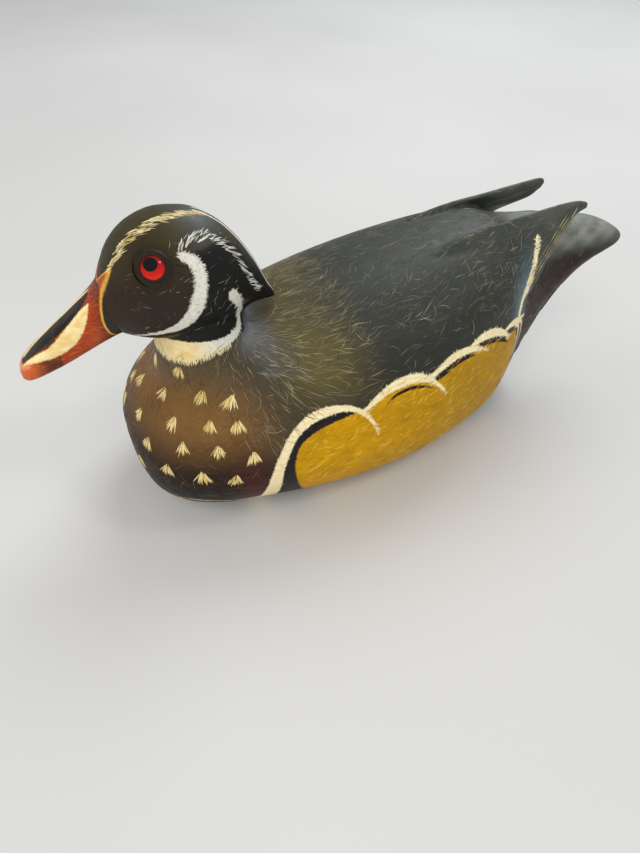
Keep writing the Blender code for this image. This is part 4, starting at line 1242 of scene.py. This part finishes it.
def painted_wood(name):
    """The painted wood of the body, head, wings and tail."""
    paint = Paint(name, specular=0.25)
    fine = paint.noise(0.9, 3.0, (1, 1.6, 1))
    coarse = paint.noise(3.5, 3.0, (1, 2.2, 1), 0.6)
    blotch = paint.noise(16.0, 3.0)
    streak = paint.noise(0.8, 2.0, (1, 9, 1.4), 0.4)
    color = paint.attribute("ground", "Color")
    color = paint.tinted(color, (0.55, 0.55, 0.55), blotch, 0.35, 0.65, 0.3)
    color = paint.tinted(color, (1.7, 1.65, 1.45), streak, 0.45, 0.75, 0.35)

    dark_paint = paint.mottled(coarse, 0.4, 0.6, (17, 17, 15), (38, 26, 30))
    ochre = paint.mottled(coarse, 0.3, 0.7, (196, 142, 4), (220, 164, 8))
    ochre = paint.tipped(ochre, (172, 130, 8), blotch, 0.42, 0.66, 0.6)
    ochre = paint.tipped(ochre, (156, 120, 8), paint.axis("Y"), -0.05, 0.05, 0.6)
    cream = paint.mottled(streak, 0.3, 0.7, (244, 218, 156), (255, 246, 206))
    white = paint.mottled(fine, 0.3, 0.7, (212, 210, 196), (242, 240, 226))
    collar = paint.mottled(coarse, 0.35, 0.65, (238, 208, 134), (248, 230, 176))
    collar = paint.mix(paint.spread(paint.axis("Y"), -0.103, -0.09), collar, white)

    color = paint.marked(color, "pocket", dark_paint, fine, 1.2)
    golden = paint.edge(paint.attribute("ochre"), (fine, 1.4))
    color = paint.mix(golden, color, ochre)
    paint.plug(paint.spread(golden, 0.0, 1.0, 0.25, 0.1), paint.shader.inputs["Specular IOR Level"])
    color = paint.marked(color, "dark", dark_paint, fine, 0.8, 0.25)
    for name, over, ragged in (("cream", cream, 1.5), ("stripe", cream, 2.2), ("collar", collar, 2.4),
                               ("bridle", white, 2.2)):
        color = paint.marked(color, name, over, fine, ragged)
    color = paint.marked(color, "ridge", white, fine, 0.8, 0.3)
    bill_red = paint.mix(coarse, tuple(shade(150, 50, 26)), tuple(shade(190, 84, 44)))
    color = bill_base(paint, color, bill_red, fine)

    roughness = paint.spread(coarse, 0.3, 0.7, 0.4, 0.58)
    relief = paint.bump(streak, 0.25, 0.12)
    relief = paint.bump(coarse, 0.12, 0.35, relief)
    return paint.finish(color, roughness, relief)


def bill_base(paint, behind, ahead, fine):
    """Joins the head's and the bill's colours at the yellow line round the bill's base."""
    side = paint.attribute("bill_side")
    color = paint.mix(paint.edge(side, (fine, 0.6), 0.25), behind, ahead)
    yellow = paint.mottled(fine, 0.35, 0.65, (196, 128, 20), (236, 196, 80))
    width = paint.math("SUBTRACT", paint.math("ABSOLUTE", side), 0.45)
    return paint.mix(paint.edge(width, (fine, 0.9), 0.25), color, yellow)


def bill_paint(name):
    """The bill's paint: orange red with a black ridge, pale patches and a pinkish tip."""
    paint = Paint(name, specular=0.32)
    fine = paint.noise(0.8, 3.0, (1, 1.5, 1))
    coarse = paint.noise(3.0, 3.0, (1, 2.5, 1), 0.5)
    streak = paint.noise(0.7, 2.0, (1, 7, 1.2), 0.4)
    color = paint.attribute("ground", "Color")
    color = paint.tinted(color, (0.55, 0.5, 0.5), coarse, 0.4, 0.66, 0.45)
    color = paint.tipped(color, (226, 130, 74), streak, 0.5, 0.75, 0.4)
    black = paint.mottled(coarse, 0.4, 0.6, (24, 22, 18), (50, 44, 34))
    color = paint.marked(color, "culmen", black, fine, 1.2, 0.4)
    blush = paint.mottled(coarse, 0.4, 0.6, (222, 124, 88), (234, 158, 118))
    color = paint.marked(color, "blush", blush, fine, 1.4, 0.5)
    pale = paint.mottled(coarse, 0.35, 0.65, (240, 204, 128), (252, 234, 176))
    color = paint.marked(color, "patch", pale, fine, 1.3)
    color = bill_base(paint, tuple(shade(40, 36, 26)), color, fine)
    relief = paint.bump(coarse, 0.2, 0.4, paint.bump(streak, 0.3, 0.2))
    return paint.finish(color, paint.spread(coarse, 0.3, 0.7, 0.3, 0.44), relief)


def toned(name, stops, roughness=0.5):
    """Stroke paint whose colour follows each stroke's tone from the first colour to the last."""
    paint = Paint(name, roughness=roughness, specular=0.4)
    tone = paint.attribute("tone")
    color = tuple(shade(*stops[0]))
    for k, stop in enumerate(stops[1:]):
        low = k / (len(stops) - 1)
        color = paint.mix(paint.spread(tone, low, low + 1 / (len(stops) - 1)), color, tuple(shade(*stop)))
    return paint.finish(paint.tinted(color, (0.6, 0.6, 0.6), paint.noise(0.6, 2.0), 0.3, 0.7, 0.3))


def metal(name, light, dark, roughness, grain_mm=1.5):
    """Bare metal, worn unevenly between a light and a dark tone."""
    paint = Paint(name, metallic=1.0)
    wear = paint.noise(grain_mm, 4.0)
    fine = paint.noise(0.25, 2.0)
    color = paint.mottled(wear, 0.38, 0.62, light, dark)
    return paint.finish(color, paint.spread(wear, 0.3, 0.7, roughness, roughness + 0.25),
                        paint.bump(fine, 0.3, 0.05, paint.bump(wear, 0.3, 0.2)))


def birch(name):
    paint = Paint(name)
    grain = paint.noise(0.5, 3.0, (1, 12, 12), 0.6)
    color = paint.mottled(grain, 0.3, 0.7, (206, 172, 126), (168, 128, 84))
    return paint.finish(color, paint.spread(grain, 0.3, 0.7, 0.55, 0.75), paint.bump(grain, 0.3, 0.1))


def dress(obj, material, body="duck"):
    """Gives a finished piece its material, its smooth shading and its body."""
    obj.data.materials.clear()
    obj.data.materials.append(material)
    obj.data.shade_smooth()
    obj.data.set_sharp_from_angle(angle=math.radians(38))
    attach(obj, body)
    return obj


def to_metres(obj):
    obj.data.transform(Matrix.Scale(MM, 4))
    return obj


# ---------------------------------------------------------------- eyes and hardware

# The lid's section round the eye as radius and height: over the eye's own plane where it is near the glass,
# over the head's skin farther out, and back inside the socket
LID_OVER_GLASS = [(4.9, 0.75), (5.0, 1.1), (5.3, 1.25), (5.8, 0.95)]
LID_OVER_SKIN = [(6.4, 0.8), (7.0, 0.42), (7.7, 0.16), (8.6, -0.06)]
LID_IN_SOCKET = [(7.6, -1.8), (7.2, -2.6), (6.1, -2.6), (5.9, -0.9), (5.4, 0.1)]


PUPIL_UP, PUPIL_FRONT, PUPIL_R = 1.5, 0.7, 2.9


def make_eyes(skin):
    glass, lid = eye_glass(), lid_paint()
    for side, label in ((1, "left"), (-1, "right")):
        place = eye_frame(side)
        into_eye = place.inverted().to_3x3()
        up, front = np.array(into_eye @ Vector((0, 0, 1))), np.array(into_eye @ Vector((0, -1, 0)))
        eye = eye_dome(label + "_eye_glass", up, front)
        eye.data.transform(place)
        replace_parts(dress(to_metres(eye), glass), label + "_eye")
        ring = lid_ring(label + "_eyelid", place, math.atan2(up[1], up[0]), skin)
        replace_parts(dress(to_metres(ring), lid), label + "_eye_putty")


def eye_dome(name, up, front):
    """The glass eye in its own frame, with the radius, height and pupil fields that its paint needs."""
    dome = [(EYE_R * math.sin(a), 3.4 * math.cos(a) - 1.0) for a in np.linspace(0, math.pi / 2, 22)]
    dome[0] = (0.0, dome[0][1])
    eye = make_object(name, *turned(dome + [(EYE_R, -2.4), (EYE_R - 1, -4.4), (0, -4.4)], None, EYE_STEPS))
    places = places_of(eye)
    store(eye, "radius", np.hypot(places[:, 0], places[:, 1]) / EYE_R)
    store(eye, "upward", places @ up / EYE_R)
    pupil = up[:2] * PUPIL_UP + front[:2] * PUPIL_FRONT
    store(eye, "pupil", np.linalg.norm(places[:, :2] - pupil, axis=1) - PUPIL_R)
    return eye


def lid_ring(name, place, top_angle, skin):
    """The carved lid round the eye, fuller at its top and uneven at its inner edge."""
    angles = round_about(EYE_STEPS)
    upper = 0.5 + 0.5 * np.cos(angles - top_angle)
    section = LID_OVER_GLASS + LID_OVER_SKIN + LID_IN_SOCKET
    points = []
    for radius, height in section:
        for angle, lift in zip(angles, upper):
            reach = radius - 0.35 * lift * (radius < 6.0)
            rise = height + 0.35 * lift * (height > 0.5) + 0.06 * math.sin(angle * 5) * (radius < 6.5)
            spot = place @ Vector((reach * math.cos(angle), reach * math.sin(angle), rise))
            if (radius, height) in LID_OVER_SKIN:
                spot, normal = skin.nearest(spot)
                spot = spot + normal * rise
            points.append(spot)
    faces = []
    for i in range(len(section)):
        low, high = i * EYE_STEPS, (i + 1) % len(section) * EYE_STEPS
        faces += [(low + j, high + j, high + (j + 1) % EYE_STEPS, low + (j + 1) % EYE_STEPS)
                  for j in range(EYE_STEPS)]
    return make_object(name, np.array(points), faces)


def eye_glass():
    """Red glass over a black pupil, painted brighter toward the bottom as a glow of light passing through
    from above.
    """
    paint = Paint("red_glass_eye", roughness=0.03, specular=0.4)
    # painted light: the red brightens toward the bottom of the dome, a glow that stands for light through the
    # glass
    painted_glow = paint.spread(paint.attribute("upward"), 0.5, -0.75)
    flecks = paint.noise(0.7, 3.0)
    red = paint.mix(painted_glow, tuple(shade(150, 5, 4)), tuple(shade(252, 34, 16)))
    red = paint.tipped(red, (90, 4, 4), flecks, 0.4, 0.7, 0.25)
    red = paint.tipped(red, (60, 3, 3), paint.attribute("radius"), 0.86, 1.0, 1.0)
    pupil = paint.spread(paint.attribute("pupil"), -0.15, 0.15, 1.0, 0.0)
    return paint.finish(paint.mix(pupil, red, tuple(shade(2, 2, 2))))


def lid_paint():
    paint = Paint("eyelid_paint", specular=0.22)
    grain = paint.noise(0.8, 3.0)
    color = paint.mottled(grain, 0.35, 0.65, (33, 26, 19), (50, 40, 27))
    return paint.finish(color, paint.spread(grain, 0.3, 0.7, 0.42, 0.58), paint.bump(grain, 0.3, 0.15))


def screw_shape(length, shank, head):
    """A countersunk wood screw with its thread, pointing up from z = 0."""
    pitch, taper = 1.4, length - 1.6 * shank
    profile = [(0.0, length), (0.35 * shank, taper)]
    for k in range(int(length * 0.6 / pitch)):
        z = taper - pitch * (k + 0.5)
        profile += [(shank, z + 0.25), (shank, z - 0.05), (shank * 0.68, z - 0.35), (shank * 0.68, z - 0.7)]
    profile += [(shank, head - shank + 1.0), (shank, head - shank), (head, 0.35), (head - 0.15, 0.05),
                (0.0, 0.0)]
    return turned(profile, None, 40)


def make_screws(brass):
    sizes = {name: ((x, y, SCREW_Z), SCREW_LONG, *SCREW_RADII) for name, (x, y) in SCREWS.items()}
    sizes |= {name: ((0.0, y, WEIGHT_SCREW_Z), WEIGHT_SCREW_LONG, *WEIGHT_SCREW_RADII)
              for name, y in WEIGHT_SCREWS.items()}
    rng = random.Random(5)
    for name, (place, length, shank, head) in sizes.items():
        screw = make_object(name + "_slotted", *screw_shape(length, shank, head))
        slot = make_object("tool", *slab((-head - 1, -0.45, -1), (head + 1, 0.45, 0.9)))
        slot.data.transform(Matrix.Rotation(rng.uniform(0, math.pi), 4, "Z"))
        boolean(screw, slot, "DIFFERENCE")
        screw.data.transform(Matrix.Translation(place))
        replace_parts(dress(to_metres(screw), brass), name)


def make_weight(lead):
    """The cast lead bar, with rounded edges and a slightly uneven face."""
    bar = make_object("ballast_weight_cast", *slab(WEIGHT_LOW, WEIGHT_HIGH))
    bevel = bar.modifiers.new("edges", "BEVEL")
    bevel.width, bevel.segments = 1.2, 4
    settle(bar)
    holes = [moved(turned([(1.9, 12.0), (1.9, 2.1), (3.6, 0.4), (3.6, -3.0)], steps=HOLE_STEPS),
                   (0, y, WEIGHT_SCREW_Z))
             for y in WEIGHT_SCREWS.values()]
    boolean(bar, joined("tool", holes), "DIFFERENCE")
    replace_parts(dress(to_metres(bar), lead), "ballast_weight")


def tube(route, radius, closed):
    """Points and faces of a round wire along points, capped or joined end to end."""
    route = np.array(route, float)
    count = len(route)
    rings = []
    for i in range(count):
        if closed:
            ahead = route[(i + 1) % count] - route[i - 1]
        else:
            ahead = route[min(i + 1, count - 1)] - route[max(i - 1, 0)]
        ahead /= np.linalg.norm(ahead)
        side = np.array([1.0, 0, 0]) if abs(ahead[0]) < 0.001 else np.cross(ahead, [0, 0, 1.0])
        side /= np.linalg.norm(side)
        up = np.cross(ahead, side)
        turn = round_about(WIRE_STEPS)[:, None]
        rings.append(route[i] + radius * (np.cos(turn) * side + np.sin(turn) * up))
    points, faces = loft(rings)
    if closed:
        points = points[1:-1]
        faces = [tuple(c - 1 for c in f) for f in faces if len(f) == 4]
        last = (count - 1) * WIRE_STEPS
        faces += [(last + j, last + (j + 1) % WIRE_STEPS, (j + 1) % WIRE_STEPS, j) for j in range(WIRE_STEPS)]
    return points, faces


def make_line_tie(brass):
    """The staple in its pocket and the ring that swings on it, at its rest angle."""
    bend = [(0.0, TIE_Y - STAPLE_REACH * math.cos(a), TIE_Z - STAPLE_REACH * math.sin(a))
            for a in np.linspace(0, math.pi, 24)]
    heights = (12.1, 9.0)
    route = [(0.0, TIE_Y - STAPLE_REACH, z) for z in heights] + bend
    route += [(0.0, TIE_Y + STAPLE_REACH, z) for z in heights[::-1]]
    staple = make_object("line_tie_staple_wire", *tube(route, STAPLE_WIRE_R, False))
    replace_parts(dress(to_metres(staple), brass), "line_tie_staple")
    circle = [(TIE_RING_R * math.sin(a), TIE_RING_R * (math.cos(a) - 1), 0.0)
              for a in round_about(RING_STEPS)]
    ring = make_object("line_tie_ring_wire", *tube(circle, TIE_WIRE_R, True))
    swing = Matrix.Rotation(math.radians(TIE_REST), 4, "X")
    ring.data.transform(Matrix.Translation((0, TIE_Y, TIE_Z)) @ swing)
    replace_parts(dress(to_metres(ring), brass, "ring"), "line_tie_ring")


# ---------------------------------------------------------------- putting it together

def make_strokes(skin):
    """Every family of brush strokes, each as one piece."""
    hair_strokes(skin)
    border_strokes(skin)
    head_strokes(skin)
    cheek_flecks(skin)
    painted_eye_crease_shadows(skin)
    wing_lines(skin)
    rump_curls(skin)
    nape_strokes(skin)


def hair_strokes(skin):
    """The combed hair and the spots of the back, the breast and the side pockets."""
    hairlines(skin, 11, 1600, (4, 11), (0.2, 0.38), 0.9).build(
        "shoulder_hairlines", "golden_hair_paint", [(74, 66, 42), (124, 112, 72), (186, 174, 130)])
    hairlines(skin, 12, 2400, (3, 11), (0.18, 0.36), 0.2).build(
        "back_hairlines", "pale_hair_paint", [(60, 61, 54), (88, 89, 79), (150, 148, 132)])
    hairlines(skin, 22, 380, (4, 10), (0.3, 0.55), 0.3).build(
        "back_undertones", "dim_hair_paint", [(22, 22, 19), (36, 37, 32), (66, 67, 60)])
    breast_lines(skin, 13, 1100).build(
        "breast_hairlines", "breast_hair_paint", [(44, 28, 14), (84, 60, 34), (142, 112, 68)])
    breast_fans(skin, 14).build(
        "breast_fans", "breast_fan_paint", [(178, 140, 70), (232, 206, 126), (248, 234, 178)])
    flank_lines(skin, 15, 3200).build(
        "flank_hairlines", "flank_hair_paint", [(122, 80, 2), (168, 118, 4), (228, 176, 30), (252, 216, 104)])


def border_strokes(skin):
    """The tufts along the scallops over the side pocket and along the stripe behind it."""
    tuft = Strokes(skin, 16)
    for line in CREAM[:4]:
        tufts(tuft, *skin.lifted(line), 60, (1.0, 2.2), (0.35, 0.7), (0.3, 1.0), 0.35, (1, -1), 0.7)
    tufts(tuft, *skin.lifted(STRIPE), 70, (1.2, 2.2), (0.4, 0.7), (0.4, 1.0), 0.3, (1, -1), 0.75)
    tuft.build("pocket_border_tufts", "cream_tuft_paint", [(196, 176, 124), (236, 218, 166), (250, 240, 206)])


def head_strokes(skin):
    """The strokes that make up the head's white and cream lines."""
    white = Strokes(skin, 17)
    tufts(white, *skin.lifted(BRIDLE[:7]), 110, (1.2, 2.4), (0.3, 0.6), (0.2, 1.0), 0.5, (1, -1), 0.8)
    tufts(white, *skin.lifted(BRIDLE[6:]), 40, (1.0, 2.4), (0.3, 0.5), (0.2, 1.0), 1.1, (1, -1), 0.6)
    slanted_row(white, *skin.lifted(CREST_STRIPE), 120, (2.6, 5.5), (0.35, 0.75), (0.2, 1.0), 0.5)
    for spots in both_sides(skin.lifted(RIDGE)[0]):
        white.along(spots, 1.3, 1.0, 0.16)
    tufts(white, *skin.lifted(COLLAR[:8]), 70, (1.0, 2.4), (0.35, 0.6), (0.5, 1.0), 0.3, (1, -1), 0.8)
    white.build("head_white_strokes", "head_white_paint",
                [(160, 158, 148), (214, 212, 200), (246, 244, 236)], "head_paint")
    cream = Strokes(skin, 18)
    slanted_row(cream, *skin.lifted(SUPERCILIUM), 190, (2.6, 6.0), (0.35, 0.75), (0.1, 1.0), -0.38, 6.5)
    tufts(cream, *skin.lifted(COLLAR[7:]), 190, (2.0, 3.8), (0.35, 0.65), (0.5, 1.0), 0.15, (1,), 0.85)
    cream.build("head_cream_strokes", "head_cream_paint",
                [(170, 140, 70), (226, 204, 134), (248, 240, 206)], "head_paint")


def cheek_flecks(skin):
    flecks = Strokes(skin, 19)
    rng = flecks.rng
    for _ in range(260):
        side = rng.choice((-1, 1))
        y, z = rng.uniform(-126, -72), rng.uniform(104, 146)
        spot = skin.from_side(side, y, z)
        if spot is not None and math.hypot(y - EYE_Y, z - EYE_Z) >= 9.5:
            combed(flecks, spot, (0.4, 0.5), (1.2, 5.0), (0.18, 0.34), 2, 0.4)
    flecks.build("cheek_flecks", "head_fleck_paint", [(84, 72, 66), (140, 132, 122), (204, 198, 186)],
                 "head_paint")


def painted_eye_crease_shadows(skin):
    # painted shade: dark strokes along the eye's creases
    crease_shadows = Strokes(skin, 23)
    for line in CREASE_SHADOWS:
        for spots in both_sides(skin.lifted(line)[0]):
            crease_shadows.along(spots, crease_shadows.rng.uniform(0.7, 1.0), crease_shadows.rng.random(), 0.05)
    crease_shadows.build("painted_eye_crease_shadows", "eye_crease_shadow_paint", [(8, 7, 6), (18, 14, 11)], "head_paint")


def wing_lines(skin):
    """Broken lines that follow the rear edge of each wing and close up toward its tip."""
    lines = Strokes(skin, 20)
    for edge in WING_EDGES:
        for shift in (0.8, 2.6, 4.6):
            spots, _ = skin.lifted([(x, y - shift, z + shift * lift, 1) for (x, y, z), lift in
                                    zip(edge, (1.0, 0.8, 0.6, 0.4, 0.0))])
            for start in range(0, len(spots) - 6, 7):
                lines.along(spots[start:start + 8], lines.rng.uniform(0.4, 0.7), lines.rng.uniform(0.4, 1.0))
    lines.build("wing_edge_lines", "wing_line_paint", [(110, 90, 44), (176, 150, 84), (222, 206, 150)],
                "wing_paint")


def rump_curls(skin):
    """Loose curls on the dark sides of the rump."""
    curls = Strokes(skin, 24)
    rng = curls.rng
    for _ in range(260):
        spot = on_body(rng, skin, (88, 134), (46, 90), rng.choice((-1, 1)))
        if spot is not None and abs(spot.x) >= 3:
            curls.stroke(spot, (0, rng.uniform(-0.4, 1), rng.uniform(-0.8, 1)), rng.uniform(2, 6),
                         rng.gauss(0, 1.0), rng.uniform(0.2, 0.36), rng.random() ** 1.3, 0.4, 0.06)
    curls.build("rump_curls", "rump_line_paint", [(58, 28, 22), (104, 60, 46), (170, 124, 92)])


def nape_strokes(skin):
    """Grey-blue strokes behind the neck, over the teal patch of the wing and on top of the tail."""
    nape = Strokes(skin, 21)
    rng = nape.rng
    for _ in range(420):
        side, kind = rng.choice((-1, 1)), rng.random()
        if kind < 0.35:
            spot = on_body(rng, skin, (-76, -56), (84, 98), side)
            heading = (side * 0.3, 1.0, -0.6)
        elif kind < 0.7:
            spot = on_body(rng, skin, (60, 82), (74, 104), side)
            heading = (0.0, 0.5, 1.0)
        else:
            spot = on_back(rng, skin, (100, 166), 12)
            heading = (side * 0.25, 1.0, 0.0)
        if spot is not None and spot.z >= pocket_top(spot.y) + 2:
            nape.stroke(spot, heading, rng.uniform(2.5, 8), rng.gauss(0, 0.4), rng.uniform(0.25, 0.5),
                        rng.random() ** 1.5, 0.4, 0.06)
    nape.build("nape_and_tail_strokes", "grey_blue_paint", [(74, 84, 90), (116, 128, 134), (168, 176, 178)])


def make_floor():
    bpy.ops.mesh.primitive_plane_add(size=80.0)
    floor = bpy.context.object
    floor.name = "floor"
    paint = Paint("pale_floor", roughness=0.65, specular=0.3)
    cloud = paint.noise(400.0, 2.0)
    color = paint.mottled(cloud, 0.3, 0.7, (206, 205, 202), (214, 213, 210))
    floor.data.materials.append(paint.finish(color))


def soft_light(name, place, aim, size, power, color, glossy=True):
    lamp = bpy.data.lights.new(name, "AREA")
    lamp.shape, lamp.size, lamp.energy, lamp.color = "DISK", size, power, color
    obj = bpy.data.objects.new(name, lamp)
    obj.location = place
    obj.rotation_euler = (Vector(aim) - Vector(place)).to_track_quat("-Z", "Y").to_euler()
    obj.visible_glossy = glossy
    bpy.context.scene.collection.objects.link(obj)


def make_studio():
    world = bpy.data.worlds.new("studio")
    world.use_nodes = True
    world.node_tree.nodes["Background"].inputs["Color"].default_value = (0.93, 0.96, 1.0, 1.0)
    world.node_tree.nodes["Background"].inputs["Strength"].default_value = 0.45
    bpy.context.scene.world = world
    soft_light("window", (-0.9, 1.0, 1.5), (0, 0, 0.06), 1.3, 19, (0.93, 0.97, 1.0))
    soft_light("room", (1.3, -0.9, 1.5), (0, 0, 0.06), 1.6, 22, (1.0, 0.97, 0.93), False)
    soft_light("lamp", (0.62, 0.8, 1.2), (0, -0.1, 0.12), 0.3, 2.5, (1.0, 0.98, 0.95))
    soft_light("front", (-0.5, -1.6, 0.9), (0, 0, 0.06), 1.0, 6, (1.0, 0.95, 0.88), False)


def make_camera():
    bpy.context.scene.view_settings.view_transform = "Standard"
    camera = bpy.data.cameras.new("camera")
    camera.sensor_fit, camera.sensor_width, camera.lens = "AUTO", 36.0, 26.59
    camera.clip_start = 0.01
    obj = bpy.data.objects.new("camera", camera)
    obj.location = (0.255, -0.1465, 0.264)
    obj.rotation_euler = (math.radians(47.0), 0.0, math.radians(65.0))
    bpy.context.scene.collection.objects.link(obj)
    bpy.context.scene.camera = obj


def main():
    whole = carve_whole()
    skin = Surface(whole)
    pieces = part_whole(whole)
    bill_skin = Surface(pieces["bill"])
    woods = {"body_upper": ("body_paint", painted_wood("body_painted_wood")),
             "bottom_board": ("board_paint", painted_wood("board_painted_wood")),
             "head": ("head_paint", painted_wood("head_painted_wood")),
             "tail_insert": ("tail_paint", painted_wood("tail_painted_wood")),
             "bill": ("bill_paint", bill_paint("bill_painted_wood")),
             "left_wing_tip": ("wing_paint", painted_wood("wing_painted_wood"))}
    woods["right_wing_tip"] = woods["left_wing_tip"]
    for node, obj in pieces.items():
        if node == "bill":
            paint_bill(obj, bill_skin)
        else:
            paint_piece(obj, skin)
        slot, material = woods[node]
        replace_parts(dress(to_metres(obj), material), node)
    bpy.data.objects.remove(whole)
    make_strokes(skin)
    make_eyes(skin)
    brass = metal("aged_brass", (196, 158, 92), (120, 88, 46), 0.3)
    make_screws(brass)
    make_weight(metal("cast_lead", (120, 122, 126), (78, 80, 84), 0.45, 3.0))
    make_line_tie(brass)
    wood, steel = birch("birch_dowel"), metal("zinc_plated_steel", (176, 178, 180), (128, 132, 138), 0.28)
    for name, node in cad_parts.items():
        if "dowel" in name or name.startswith("neck_screw"):
            node.data.materials.clear()
            node.data.materials.append(wood if "dowel" in name else steel)
    make_floor()
    make_studio()
    make_camera()


main()
